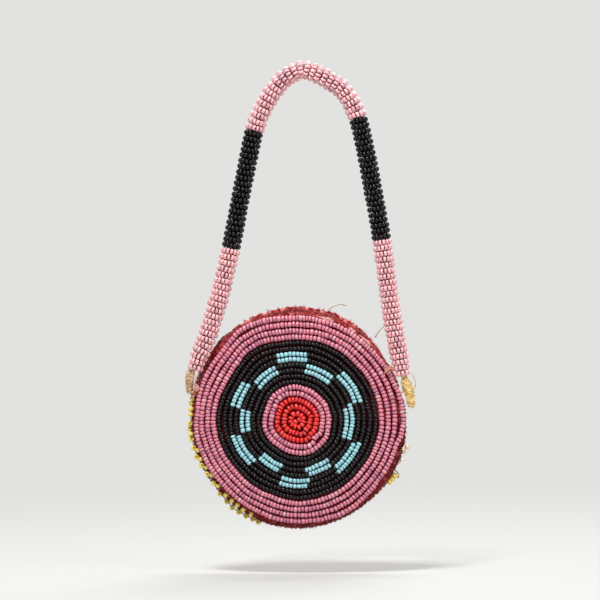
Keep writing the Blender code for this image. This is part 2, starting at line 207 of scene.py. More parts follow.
# How far apart the points of a smooth path lie, and those of a small one
PATH_STEP = 0.0005
FINE_STEP = 0.0003
# How far the core stands out between the beads, and the ridges of its winding
CORE_PROUD = 0.0003
CORE_RIDGE = 0.00008
CORE_RIDGE_TURN = 2.4

# Edge beads: degrees clockwise from the top, radius in millimetres, and which way the hole runs
LEFT_EDGE = (
    (-78.8, 35.8, "along"), (-81.3, 36.0, "along"), (-84.3, 35.8, "along"),
    (-87.2, 35.8, "along"), (-92.2, 36.05, "out"), (-94.9, 36.3, "out"), (-98, 36.0, "along"),
    (-100.6, 36.1, "out"), (-105.4, 36.05, "out"), (-110.3, 35.9, "out"),
    (-115.7, 35.5, "out"), (-121.2, 35.1, "out"), (-127.4, 35.2, "out"), (-134, 36.05, "out"),
    (-139.4, 36.3, "out"), (-143.5, 36.75, "out"), (-147.7, 36.45, "out"),
    (-152, 36.4, "out"), (-156, 36.3, "out"), (-159.2, 36.3, "out"),
)
LEFT_MATES = (
    (-107.2, 34.9), (-112.3, 35.2), (-117.6, 34.5), (-123, 34.1), (-130, 34.7), (-136.6, 34.9),
    (-141.1, 34.9), (-144.9, 34.9), (-149, 35.1), (-154, 35.1),
)
# The same on the right: glass, degrees, radius in millimetres, the hole's slope in the picture
RIGHT_EDGE = (
    ("cream", 105.5, 35.8, 14), ("cream", 104.2, 36.8, 22), ("cream", 106.8, 36.1, -10),
    ("white", 110.8, 36.4, 50),
    ("yellow", 124.1, 36.2, 30), ("yellow", 122.0, 36.4, 34), ("yellow", 119.9, 36.6, 44),
)
# The loose thread over the yellow beads on the right: degrees and radius in millimetres
RIGHT_THREAD = ((117.5, 35.4), (117.8, 36.6), (118.6, 37.6), (120.3, 37.9))
# How big each is beside the edge bead radius
EDGE_SIZES = {"yellow": 1.06, "cream": 0.9, "white": 0.9}
# How far the edge beads' middles stand off the curl at least, and past the rim's radius
EDGE_BEAD_PROUD = 0.0008
EDGE_MARGIN = 0.00005
# The thongs lie that many degrees from the top, and keep so much clear of stitches and fuzz
THONG_DEG = 75.5
THONG_ROOM = 3.5
# A whip stitch from the front curl over the edge to the back: degrees round the curl, side
SEAM_LOOP = (
    (58, True), (70, True), (80, True), (88, True), (88, False), (70, False), (45, False),
)
SEAM_PROUD = 0.00022
# Slivers of the hide lining beside the mouth: first and last angle
STRIPS = ((11.5, 20), (29.5, 34), (36, 46))
STRIP_RADIUS = 0.0349
STRIP_HALF_WIDTH = 0.0004
STRIP_PROUD = 0.0007
STRIP_STEPS = 24

# Rolls of hide that make up each tie: middle line, radii along it, thickness share
LEFT_TIE_ROLLS = (
    (
        ((-0.0373, 0.0, -0.0975), (-0.0378, -0.0004, -0.0995), (-0.0380, -0.0006, -0.1016),
         (-0.0381, -0.0004, -0.1034), (-0.0382, -0.0002, -0.1052)),
        (0.0013, 0.0013, 0.0012, 0.0010, 0.0008),
        0.6,
    ),
    (
        ((-0.0380, -0.0008, -0.0982), (-0.0387, -0.0011, -0.1002), (-0.0389, -0.0009, -0.1022)),
        (0.0006, 0.0008, 0.0005),
        0.7,
    ),
    (
        ((-0.0372, 0.0006, -0.0990), (-0.0374, 0.0008, -0.1018), (-0.0376, 0.0004, -0.1046)),
        (0.0006, 0.0008, 0.0005),
        0.8,
    ),
)
RIGHT_TIE_ROLLS = (
    (
        ((0.0337, 0.0, -0.0990), (0.0341, 0.0, -0.1004), (0.0345, 0.0, -0.1018)),
        (0.0009, 0.0011, 0.0012),
        0.95,
    ),
    (
        ((0.0333, -0.0008, -0.1022), (0.0344, -0.0016, -0.1032), (0.0361, -0.0012, -0.1046)),
        (0.0005, 0.0007, 0.0006),
        0.8,
    ),
    (
        ((0.0364, -0.0002, -0.1046), (0.0369, -0.0006, -0.1060), (0.0368, -0.0008, -0.1076)),
        (0.0006, 0.0008, 0.0005),
        0.9,
    ),
    (
        ((0.0348, -0.0010, -0.1056), (0.0352, -0.0013, -0.1070), (0.0354, -0.0008, -0.1086)),
        (0.0005, 0.0006, 0.0004),
        0.9,
    ),
    (
        ((0.0358, -0.0001, -0.1068), (0.0361, -0.0002, -0.1082), (0.0363, -0.0003, -0.1094),
         (0.0363, -0.0003, -0.1098), (0.0363, -0.0004, -0.1092), (0.0362, -0.0003, -0.1084)),
        (0.0011, 0.0012, 0.0014, 0.0012, 0.0009, 0.0004),
        0.9,
    ),
)
# The right tie's twisted strands: middle line, coil radii, turns and number, and their radius
RIGHT_TWIST = (
    ((0.0340, 0.0, -0.1000), (0.0345, -0.0001, -0.1016), (0.0351, -0.0002, -0.1034),
     (0.0357, -0.0002, -0.1054), (0.0361, -0.0002, -0.1074)),
    (0.0004, 0.0011, 0.0014, 0.0012, 0.0006),
    1.9,
    4,
)
RIGHT_STRAND = 0.00062
LEFT_FRAY_ENDS = (
    (-0.0384, 0.0002, -0.1046), (-0.0377, 0.0, -0.1044), (-0.0381, -0.0002, -0.1040),
)
RIGHT_FRAY_ENDS = ((0.0363, -0.0003, -0.1094), (0.0372, -0.0006, -0.1068))
# Laps and scraps of torn hide at the rim: middle line, half width and number of strands
LAPS = (
    (
        "right_lap",
        "salmon_hide",
        ((0.0270, -0.0020, -0.0986), (0.0280, -0.0022, -0.0972), (0.0294, -0.0018, -0.0966),
         (0.0306, -0.0008, -0.0976)),
        0.0005,
        5,
    ),
    (
        "left_lap",
        "pink_hide",
        ((-0.0366, -0.0004, -0.1026), (-0.0356, -0.0010, -0.1036), (-0.0347, -0.0012, -0.1046)),
        0.0007,
        4,
    ),
    (
        "left_scrap",
        "brown_hide",
        ((-0.0368, 0.0006, -0.1034), (-0.0367, 0.0, -0.1050), (-0.0365, 0.0006, -0.1068)),
        0.0009,
        6,
    ),
)
# Loose ends of sinew: node, middle line, how many hairs fray at the tip
SINEWS = (
    (
        "mouth_sinew",
        ((0.0079, 0.0062, -0.0780), (0.0091, 0.0062, -0.0767), (0.0102, 0.0061, -0.0760),
         (0.0116, 0.0060, -0.0756), (0.0131, 0.0060, -0.0754), (0.0142, 0.0058, -0.0757)),
        16,
    ),
    (
        "side_sinew",
        ((0.0243, 0.0049, -0.0865), (0.0248, 0.0048, -0.0854), (0.0257, 0.0048, -0.0841),
         (0.0269, 0.0048, -0.0831)),
        3,
    ),
)
GREY_THREAD = (
    (0.0352, -0.0020, -0.0975), (0.0362, -0.0022, -0.0982), (0.0370, -0.0018, -0.0996),
    (0.0376, -0.0012, -0.1014), (0.0377, -0.0006, -0.1032),
)
OUTWARD = Vector((0, -1, 0))
# A direction that no path here follows, from which a round tube starts
ANY_WAY = Vector((0.31, 0.52, 0.79))
# How far off a second point is taken, to read a direction, and how often a seat is corrected
PROBE = 0.00035
SEAT_ROUNDS = 3

# The floor is a disc, and from the first to the second distance it fades into the backdrop
FLOOR_RADIUS = 2.4
FLOOR_STEPS = 96
FLOOR_FADE = (0.1, 0.7)
FLOOR_SHADE = 0.7
# Lamps: name, width, place
LAMPS = (
    ("key", 0.24, (-0.2, -0.62, 0.85)),
    ("fill", 0.5, (0.7, -0.7, 0.15)),
    ("top", 0.4, (0.1, 0.15, 0.8)),
    ("back", 0.5, (0.25, 0.8, 0.5)),
)
# The camera: how wide its sensor is, in millimetres, and how far it sees, in metres
SENSOR = 36
VIEW_END = 10

# Tints that old glass turns to, as linear colours, and the pale hide where it is worn
PLUM = (0.42, 0.12, 0.34)
CORAL = (0.95, 0.3, 0.22)
BISQUE = (0.9, 0.72, 0.7)
WORN_HIDE = (1, 0.95, 0.85)


def srgb(red, green, blue):
    """A screen colour from 0 to 255 as the linear colour that a material takes."""
    shares = (value / 255 for value in (red, green, blue))
    return tuple(s / 12.92 if s < 0.0405 else ((s + 0.055) / 1.055) ** 2.4 for s in shares)


def a_length(name, description, default):
    return FloatProperty(
        name=name, description=description, default=default, min=0, unit="LENGTH", precision=5
    )


def a_share(name, description, default):
    return FloatProperty(
        name=name, description=description, default=default, min=0, max=1, subtype="FACTOR"
    )


def a_count(name, description, default):
    return IntProperty(name=name, description=description, default=default, min=1)


def a_power(name, description, default):
    return FloatProperty(
        name=name, description=description, default=default, min=0, unit="POWER"
    )


def a_colour(name, description, *screen):
    return FloatVectorProperty(
        name=name, description=description, default=srgb(*screen), min=0, max=1, subtype="COLOR"
    )


class BeadSettings(bpy.types.PropertyGroup):
    """Sizes of the seed beads and of the thread that holds them"""

    bead_length: a_length("Bead length", "Length of a seed bead along its thread", 0.00122)
    strap_bead_radius: a_length("Strap bead radius", "Radius of the beads on the strap", 0.00103)
    strap_bead_length: a_length("Strap bead length", "Length of the beads on the strap", 0.00112)
    edge_bead_radius: a_length("Edge bead radius", "Radius of the yellow edge beads", 0.00095)
    thread_radius: a_length("Thread radius", "Radius of the thread through the beads", 0.00016)
    uneven: a_share("Unevenness", "How much the beads differ in length and width", 0.13)
    wander: a_length("Wander", "How far the sewn lanes stray sideways", 0.0002)
    stitch_every: a_count("Beads to a stitch", "Beads between two couching stitches", 3)


class GlassSettings(bpy.types.PropertyGroup):
    """Colours of the beads' glass"""

    red: a_colour("Red", "Glass of the beads in the middle", 216, 26, 20)
    rose: a_colour("Rose", "Glass of the rose lanes", 210, 122, 143)
    pale_rose: a_colour("Pale rose", "Glass of the rose beads on the strap", 238, 178, 182)
    black: a_colour("Black", "Glass of the black lanes and sleeves", 5, 5, 7)
    turquoise: a_colour("Turquoise", "Glass of the dashes", 148, 205, 214)
    yellow: a_colour("Yellow", "Glass of the edge beads", 230, 206, 92)
    cream: a_colour("Cream", "Glass of three edge beads on the right", 232, 200, 165)
    white: a_colour("White", "Glass of one edge bead on the right", 240, 236, 228)
    roughness: a_share("Roughness", "Roughness of the glass", 0.2)


class ClothSettings(bpy.types.PropertyGroup):
    """The wool cloth, its nap and its raw edges"""

    # Deep red is also a painted shade in the nap's hollows, bright red colours its high places
    deep: a_colour("Deep red", "Wool in its hollows", 110, 10, 22)
    bright: a_colour("Bright red", "Wool on its high places", 184, 34, 42)
    # The fibre tips' colour is also a painted highlight on the rim's knobs
    tip: a_colour("Fibre tips", "The worn tips of the wool's fibres", 230, 138, 136)
    fibre_radius: a_length("Fibre radius", "Radius of one tuft of fibres", 0.00006)
    fibre_length: a_length("Fibre length", "How far the fibres stand off a raw edge", 0.0007)
    mouth_tufts: a_count("Mouth tufts", "Tufts along each raw edge of the mouth", 150)
    rim_tufts: a_count("Rim tufts", "Tufts round the sewn edge of each half", 433)
    corner_tufts: a_count("Corner tufts", "Long tufts at the mouth's left corner", 86)
    nap_fibres: a_count("Nap fibres", "Short fibres lying on the back", 2600)
    lump: a_length("Lumps", "How uneven the raw edges are", 0.0005)


class HideSettings(bpy.types.PropertyGroup):
    """Hide, sinew and thread"""

    tan: a_colour("Tan hide", "The left tie and the linings", 192, 154, 108)
    yellow_hide: a_colour("Yellow hide", "The knot on the right", 226, 190, 112)
    pink_hide: a_colour("Pink hide", "The thongs, stained by the wool", 206, 142, 126)
    salmon_hide: a_colour("Salmon hide", "Slivers of lining beside the mouth", 206, 134, 120)
    brown_hide: a_colour("Brown hide", "The scrap beside the left tie", 164, 88, 60)
    # The stain colour also tints the painted shade in the hide's hollows
    brown: a_colour("Stain", "Worn and stained places on the hide", 112, 52, 26)
    sinew: a_colour("Sinew", "Loose ends and stitches of sinew", 222, 212, 184)
    thread: a_colour("Thread", "Thread between the beads", 92, 40, 38)
    edge_thread: a_colour("Edge thread", "Thread of the edge beads", 196, 172, 120)
    seam_thread: a_colour("Seam thread", "Whip stitches round the rim", 104, 44, 36)
    core: a_colour("Core", "The wound core under the strap's beads", 84, 46, 44)


class StageSettings(bpy.types.PropertyGroup):
    """Camera, lamps, floor and backdrop"""

    pale: a_colour("Backdrop", "Colour of the floor and backdrop", 226, 226, 224)
    view_width: a_length("View width", "Width of the picture at the pouch", 0.201)
    distance: a_length("Camera distance", "From the camera to the pouch", 1.3)
    lift: a_length("Camera height", "Below the origin, the height that the camera faces", 0.074)
    shift: a_length("Camera shift", "How far left of the origin the camera faces", 0.001)
    floor_drop: a_length("Floor", "How far the floor lies below the origin", 0.166)
    key: a_power("Key lamp", "Power of the main lamp", 13.4)
    fill: a_power("Fill lamp", "Power of the lamp on the right", 2.5)
    top: a_power("Top lamp", "Power of the lamp overhead", 5.0)
    back: a_power("Back lamp", "Power of the lamp behind", 5.0)
    world: a_share("World", "Strength of the light all round", 0.22)


SETTINGS = {
    "pouch_beads": BeadSettings,
    "pouch_glass": GlassSettings,
    "pouch_cloth": ClothSettings,
    "pouch_hide": HideSettings,
    "pouch_stage": StageSettings,
}


class Number:
    """A number that a material works out, so that sums on it read as sums."""

    def __init__(self, finish, socket):
        self.finish = finish
        self.socket = socket

    def maths(self, operation, first, second):
        inputs = {0: first, 1: second}
        return self.finish.node("ShaderNodeMath", {"operation": operation}, inputs)

    def __add__(self, other):
        return self.maths("ADD", self, other)

    def __mul__(self, other):
        return self.maths("MULTIPLY", self, other)

    def __sub__(self, other):
        return self.maths("SUBTRACT", self, other)

    def __rsub__(self, other):
        return self.maths("SUBTRACT", other, self)

    __radd__ = __add__
    __rmul__ = __mul__


class Finish:
    """The nodes of one procedural material, or of the world."""

    def __init__(self, owner, **constants):
        self.owner = owner
        owner.use_nodes = True
        self.tree = owner.node_tree
        nodes = self.tree.nodes
        self.shader = nodes.get("Principled BSDF") or nodes["Background"]
        for socket, value in constants.items():
            self.shader.inputs[socket.replace("_", " ")].default_value = value
        self.place = self.node("ShaderNodeTexCoord", {}, {}, "Object")

    def node(self, kind, settings, inputs, output=0):
        """Adds a node with its settings, then its inputs, and gives one of its outputs."""
        made = self.tree.nodes.new(kind)
        for key, value in settings.items():
            if key == "stops":
                self.set_stops(made.color_ramp, value)
            else:
                setattr(made, key, value)
        for key, value in inputs.items():
            self.feed(made.inputs[key], value)
        return Number(self, made.outputs[output])

    def set_stops(self, ramp, stops):
        for position, stop in stops[2:]:
            ramp.elements.new(position)
        for element, (position, stop) in zip(ramp.elements, stops):
            element.position = position
            element.color = (*stop, 1)

    def feed(self, socket, value):
        if isinstance(value, Number):
            self.tree.links.new(value.socket, socket)
        elif socket.type == "RGBA":
            socket.default_value = (*value, 1)
        else:
            socket.default_value = value

    def noise(self, grain, detail=2.0):
        """Clouds whose lumps are about that many metres across."""
        inputs = {"Vector": self.place, "Scale": 1 / grain, "Detail": detail}
        return self.node("ShaderNodeTexNoise", {"noise_dimensions": "3D"}, inputs)

    def patches(self, grain, low, high, detail=2.0):
        """Soft patches of such clouds: 0 where they are below low, 1 above high."""
        return self.steps(self.noise(grain, detail), low, high)

    def attribute(self, name):
        return self.node("ShaderNodeAttribute", {"attribute_name": name}, {}, "Fac")

    def mix(self, share, first, second):
        settings = {"data_type": "RGBA"}
        return self.node("ShaderNodeMix", settings, {0: share, 6: first, 7: second}, 2)

    def ramp(self, share, *stops):
        return self.node("ShaderNodeValToRGB", {"stops": stops}, {0: share})

    def steps(self, value, low, high):
        """0 below low, 1 above high, straight between."""
        inputs = {"Value": value, "From Min": low, "From Max": high}
        return self.node("ShaderNodeMapRange", {"clamp": True}, inputs)

    def bump(self, height, strength, distance):
        inputs = {"Height": height, "Strength": strength, "Distance": distance}
        return self.node("ShaderNodeBump", {}, inputs)

    def seen(self):
        """1 for what the camera sees, straight, mirrored or through glass, 0 for light."""
        kinds = ("Is Camera Ray", "Is Glossy Ray", "Is Transmission Ray")
        camera, glossy, through = (self.node("ShaderNodeLightPath", {}, {}, k) for k in kinds)
        return camera + glossy + through

    def finish(self, **looks):
        """Feeds the shader and gives back what is finished."""
        for socket, value in looks.items():
            self.feed(self.shader.inputs[socket.replace("_", " ")], value)
        return self.owner


def material_finish(name, **constants):
    return Finish(bpy.data.materials.new(name), **constants)


def tinted(colour, factor):
    """A lighter or darker shade of a colour."""
    return tuple(min(value * factor, 1) for value in colour)


def toward(first, second, share):
    return tuple(a + (b - a) * share for a, b in zip(first, second))


def make_glass(tint, name, spread=1.0, dust_and_shade=0.6, dull=0.12, shine=0.6):
    """Old opaque glass: each bead its own tone, duller, and darker near the cloth as dirt and
    painted shade.
    """
    settings = bpy.context.scene.pouch_glass
    colour = tuple(getattr(settings, tint))
    finish = material_finish(name, IOR=1.52, Specular_IOR_Level=shine)
    dark = tinted(toward(colour, PLUM, 0.3 * spread), 1 - 0.22 * spread)
    warm = toward(colour, CORAL, 0.14 * spread)
    pale = toward(colour, BISQUE, 0.26 * spread)
    stops = (0.0, dark), (0.3, colour), (0.55, colour), (0.8, warm), (0.84, colour), (1.0, pale)
    body = finish.ramp(finish.attribute("tone"), *stops)
    streaks = finish.patches(grain=0.0005, low=0.45, high=0.8, detail=3.0)
    body = finish.mix(streaks * 0.16, body, tinted(colour, 0.55))
    # Partly dirt, partly painted shade: darker on the side toward the cloth or the strap's core,
    # in the gaps between beads
    near_cloth = 1 - finish.steps(finish.attribute("rise"), -0.7, 0.45)
    grime_and_shade = near_cloth * (finish.noise(0.0016) * 0.6 + 0.4) * dust_and_shade
    body = finish.mix(grime_and_shade, body, tinted(colour, 0.14))
    worn = finish.patches(grain=0.0007, low=0.35, high=0.75) * dull
    dents = finish.bump(finish.noise(0.00028), strength=0.25, distance=0.00006)
    rough = worn + settings.roughness + grime_and_shade * 0.4
    return finish.finish(Base_Color=body, Roughness=rough, Normal=dents)


def make_wool(name):
    """Fulled red cloth: a twill that shows through the nap, with paler worn fibres, a painted
    highlight on the rim's knobs and painted shade.
    """
    wool = bpy.context.scene.pouch_cloth
    deep, bright, tip = (tuple(tint) for tint in (wool.deep, wool.bright, wool.tip))
    sheen = {"Sheen_Weight": 0.3, "Sheen_Roughness": 0.6, "Sheen_Tint": (*tip, 1)}
    finish = material_finish(name, Specular_IOR_Level=0.12, **sheen)
    felt = finish.noise(0.0004, 4.0)
    slanted = {"Vector": finish.place, "Rotation": (0, math.radians(45), 0)}
    rows = finish.node("ShaderNodeMapping", {}, slanted)
    twill = finish.node(
        "ShaderNodeTexWave",
        {"wave_type": "BANDS", "bands_direction": "X"},
        {"Vector": rows, "Scale": 190.0, "Distortion": 6.0, "Detail": 3.0, "Detail Scale": 3.0},
        "Fac",
    )
    # Mottled by large clouds, and partly painted shade: darker where the felt and twill bumps are
    # low
    cover = finish.steps(finish.noise(0.006, 4.0) * 0.5 + felt * 0.42 + twill * 0.14, 0.3, 0.72)
    body = finish.mix(cover, deep, bright)
    flecks = finish.patches(grain=0.00022, low=0.62, high=0.8) * 0.35
    body = finish.mix(flecks, body, toward(bright, tip, 0.6))
    # Paler toward the fibre tips: worn fibres, and on the rim's knobs partly a painted highlight
    body = finish.mix(finish.attribute("tone"), body, tip)
    # Painted shade: where the shade attribute is high the wool darkens to a deep red
    body = finish.mix(finish.attribute("shade"), body, tinted(deep, 0.16))
    nap = finish.bump(felt * 0.7 + twill * 0.3, strength=0.9, distance=0.0003)
    return finish.finish(Base_Color=body, Roughness=cover * 0.1 + 0.85, Normal=nap)


def make_hide(tint, name, stained, grain=0.0009):
    """Worn hide: pale high grain, creases and hollows painted darker as shade, and stains where it
    was handled.
    """
    hide = bpy.context.scene.pouch_hide
    colour, stain = tuple(getattr(hide, tint)), tuple(hide.brown)
    finish = material_finish(name, Sheen_Weight=0.12, Specular_IOR_Level=0.25)
    cells = finish.node(
        "ShaderNodeTexVoronoi",
        {"feature": "DISTANCE_TO_EDGE"},
        {"Vector": finish.place, "Scale": 1 / grain},
        "Distance",
    )
    # Painted shade: darker along the cells' edges, where the creases sink
    creases = finish.steps(cells, 0.0, 0.22)
    body = finish.mix(creases, tinted(colour, 0.55), colour)
    pale = finish.patches(grain=0.0005, low=0.45, high=0.75, detail=3.0)
    body = finish.mix(pale, body, tinted(colour, 1.3))
    stains = finish.patches(grain=0.0024, low=0.5, high=0.7, detail=4.0) * stained
    body = finish.mix(stains, body, stain)
    body = finish.mix(finish.attribute("tone"), body, toward(colour, WORN_HIDE, 0.4))
    # Painted shade where the shade attribute is high, toward a darkened stain colour
    hollow = tinted(toward(colour, stain, 0.6), 0.6)
    body = finish.mix(finish.attribute("shade") * 0.75, body, hollow)
    relief = creases * 0.6 + finish.noise(0.00035, 3.0) * 0.5
    bumps = finish.bump(relief, strength=0.7, distance=0.00018)
    return finish.finish(Base_Color=body, Roughness=0.9 - creases * 0.18, Normal=bumps)


def make_fibre(tint, name, shade=0.45):
    """Thread and sinew: fine strands running round, with darker hollows."""
    colour = tuple(getattr(bpy.context.scene.pouch_hide, tint))
    finish = material_finish(name, Sheen_Weight=0.2, Specular_IOR_Level=0.3)
    strands = finish.patches(grain=0.0006, low=0.4, high=0.65, detail=3.0)
    body = finish.mix(strands, tinted(colour, shade), colour)
    fine = finish.noise(0.00012)
    rough = finish.steps(fine, 0.2, 0.8) * 0.25 + 0.6
    relief = finish.bump(fine, strength=0.6, distance=0.00008)
    return finish.finish(Base_Color=body, Roughness=rough, Normal=relief)


def finish_named(name):
    """The material of that name, made when it is first asked for."""
    return bpy.data.materials.get(name) or FINISHES[name](name)


FINISHES = {
    "red_bead_glass": partial(make_glass, "red", spread=0.3),
    "rose_bead_glass": partial(make_glass, "rose"),
    "pale_rose_bead_glass": partial(make_glass, "pale_rose", spread=0.8, dust_and_shade=0.55),
    "black_bead_glass": partial(make_glass, "black", spread=0.0, dull=0.0, shine=0.3),
    "turquoise_bead_glass": partial(make_glass, "turquoise", spread=0.35),
    "yellow_bead_glass": partial(make_glass, "yellow", spread=0.15, dust_and_shade=0.5),
    "cream_bead_glass": partial(make_glass, "cream", spread=0.4),
    "white_bead_glass": partial(make_glass, "white", spread=0.2),
    "red_cloth": make_wool,
    "lining_hide": partial(make_hide, "tan", stained=0.3),
    "tan_hide": partial(make_hide, "tan", stained=0.45, grain=0.0012),
    "yellow_hide": partial(make_hide, "yellow_hide", stained=0.2, grain=0.0018),
    "pink_hide": partial(make_hide, "pink_hide", stained=0.3, grain=0.0006),
    "salmon_hide": partial(make_hide, "salmon_hide", stained=0.15, grain=0.0006),
    "brown_hide": partial(make_hide, "brown_hide", stained=0.5, grain=0.0006),
    "loose_sinew": partial(make_fibre, "sinew", shade=0.7),
    "bead_thread": partial(make_fibre, "thread"),
    "edge_thread": partial(make_fibre, "edge_thread"),
    "seam_thread": partial(make_fibre, "seam_thread"),
    "strap_core": partial(make_fibre, "core"),
}


def smooth(share):
    share = min(max(share, 0), 1)
    return share * share * (3 - 2 * share)


def bell(away, width):
    return math.exp(-((away / width) ** 2))


def rimward(radius, start, reach):
    """0 inside that share of the pouch's radius, 1 from so much further out."""
    return smooth((radius / RIM_RADIUS - start) / reach)


class Dome:
    """One half of the pouch in section: flat middle, crown, and a curl to the seam."""

    def __init__(self, rim, depth, curl, flat):
        reach = rim - flat - curl
        self.rim = rim
        self.depth = depth
        self.curl = curl
        self.flat = flat
        self.crown = (reach**2 + depth**2 - curl**2) / (2 * (depth - curl))
        self.turn = math.asin(reach / (self.crown - curl))

    def on_crown(self, angle, proud):
        size = self.crown + proud
        return self.flat + size * math.sin(angle), self.depth - self.crown + size * math.cos(angle)

    def on_curl(self, angle, proud):
        size = self.curl + proud
        return self.rim - self.curl + size * math.sin(angle), size * math.cos(angle)

    def over(self, radius, proud):
        if radius <= self.flat:
            return radius, self.depth + proud
        angle = math.asin((radius - self.flat) / (self.crown + proud))
        if angle <= self.turn:
            return self.on_crown(angle, proud)
        out = (radius - self.rim + self.curl) / (self.curl + proud)
        return self.on_curl(math.asin(min(out, 1)), proud)

    def profile(self, proud):
        """Radius and height from the middle to the edge that meets the seam."""
        points = [(0.0, self.depth + proud)]
        if self.flat:
            points += [(self.flat * share, self.depth + proud) for share in (0.35, 0.7, 1)]
        for step in range(1, CROWN_STEPS + 1):
            points.append(self.on_crown(self.turn * step / CROWN_STEPS, proud))
        last = math.acos(SEAM_HALF_GAP / (self.curl + proud))
        for step in range(1, CURL_STEPS + 1):
            points.append(
                self.on_curl(self.turn + (last - self.turn) * step / CURL_STEPS, proud)
            )
        return points


FRONT = Dome(RIM_RADIUS, FRONT_DEPTH, CURL_RADIUS, 0)
BACK = Dome(RIM_RADIUS, BACK_DEPTH, CURL_RADIUS, BACK_FLAT)


def flare(degrees):
    index = bisect.bisect_right(FLARE_DEG, degrees) - 1
    index = min(index, len(FLARE) - 2)
    (start, low), (end, high) = FLARE[index : index + 2]
    return low + (high - low) * smooth((degrees - start) / (end - start))


def sway(radius, azimuth):
    """How far outward the lanes sway there, between the tabled radii and angles."""
    index = max(i for i, (at, _) in enumerate(SWAY[:-1]) if at <= radius)
    (inner, low), (outer, high) = SWAY[index : index + 2]
    spot = math.degrees(azimuth) % 360 / SWAY_DEG
    first, share = int(spot), spot % 1
    ends = []
    for row in (low, high):
        before, here, ahead, after = (row[(first + step) % len(row)] for step in (-1, 0, 1, 2))
        bend = 2 * before - 5 * here + 4 * ahead - after
        twist = -before + 3 * here - 3 * ahead + after
        ends.append(here + 0.5 * share * (ahead - before + share * (bend + share * twist)))
    across = (radius - inner) / (outer - inner)
    return (ends[0] + (ends[1] - ends[0]) * across) * SWAY_UNIT


def mouth_share(azimuth):
    """1 in the middle of the mouth, 0 at its corners and round the sewn edge."""
    away = abs(math.remainder(azimuth, math.tau)) / math.radians(MOUTH_HALF_DEG)
    return 1 - smooth((away - MOUTH_FLAT_SHARE) / (1 - MOUTH_FLAT_SHARE))


def pouch_point(radius, height, azimuth, front):
    """A point of the pouch from its centre, with the mouth's lift and rise."""
    opened = rimward(radius, LIFT_START_SHARE, 1 - LIFT_START_SHARE) * mouth_share(azimuth)
    degrees = math.remainder(math.degrees(azimuth), 360)
    if not front:
        middle, width, share = PRESSED
        height *= 1 - share * rimward(radius, 0.8, 0.12) * bell(degrees - middle, width)
    radius += flare(degrees) * rimward(radius, 0.94, 0.06)
    radius += opened * (FRONT_RISE if front else BACK_RISE)
    height += opened * MOUTH_LIFT
    depth = -height if front else height
    return Vector((radius * math.sin(azimuth), depth, radius * math.cos(azimuth)))


def over_front(radius, azimuth, proud):
    """A place that far proud of the front cloth, seen at a radius, and the way out there."""
    seat = radius
    tangent = Vector((math.cos(azimuth), 0, -math.sin(azimuth)))
    for _ in range(SEAT_ROUNDS):
        foot, further = (
            pouch_point(*FRONT.over(spot, 0), azimuth, True) for spot in (seat, seat + PROBE)
        )
        normal = (further - foot).cross(tangent).normalized()
        if normal.y > 0:
            normal.negate()
        point = foot + normal * proud
        seat += radius - math.hypot(point.x, point.z)
    return CENTRE + point, normal


def on_rim(angle, proud, azimuth, front):
    """A place round the curl of the rim: angle 0 faces out of the cloth, 90 degrees outward."""
    dome = FRONT if front else BACK
    return CENTRE + pouch_point(*dome.on_curl(angle, proud), azimuth, front)


def smooth_path(points, step):
    """Points about a step apart on a smooth curve through the given ones."""
    slopes = []
    for index, point in enumerate(points):
        before = points[max(index - 1, 0)]
        after = points[min(index + 1, len(points) - 1)]
        slopes.append((after - before) / ((after - point).length + (point - before).length))
    path = []
    for first, second, leaving, arriving in zip(points, points[1:], slopes, slopes[1:]):
        chord = (second - first).length
        pieces = max(1, round(chord / step))
        for piece in range(pieces):
            t = piece / pieces
            path.append(
                first * (2 * t**3 - 3 * t**2 + 1)
                + second * (3 * t**2 - 2 * t**3)
                + leaving * chord * (t**3 - 2 * t**2 + t)
                + arriving * chord * (t**3 - t**2)
            )
    return [*path, points[-1]]


def route(places, step=PATH_STEP):
    return smooth_path([Vector(place) for place in places], step)


class Route:
    """The strap's middle line, read by the distance along it."""

    def __init__(self, points):
        self.points = smooth_path(points, PATH_STEP)
        self.marks = [0.0]
        for first, second in zip(self.points, self.points[1:]):
            self.marks.append(self.marks[-1] + (second - first).length)
        self.length = self.marks[-1]

    def at(self, distance):
        index = min(max(bisect.bisect_right(self.marks, distance) - 1, 0), len(self.marks) - 2)
        start, end = self.marks[index], self.marks[index + 1]
        first, second = self.points[index], self.points[index + 1]
        return first + (second - first) * ((distance - start) / (end - start))

    def along(self, distance):
        return (self.at(distance + 3 * PATH_STEP) - self.at(distance - 3 * PATH_STEP)).normalized()

    def bend(self, distance):
        """How sharply the line turns toward its inner side, per metre."""
        reach = 8 * PATH_STEP
        before, after = self.along(distance - reach), self.along(distance + reach)
        return (before.z * after.x - before.x * after.z) / (2 * reach)


STRAP = Route(
    [
        Vector((across * STRAP_HALF_SPAN, 0, STRAP_RADIUS - down * STRAP_DROP))
        for across, down in STRAP_SHARES
    ]
)


def strap_share(distance):
    """How much of its full radius the strap has there: less at its two ends."""
    shares = []
    for end_share, from_end in zip(END_SHARES, (distance, STRAP.length - distance)):
        inward = smooth(from_end / (TAPER_SHARE * STRAP.length))
        shares.append(end_share + (1 - end_share) * inward)
    return min(shares)


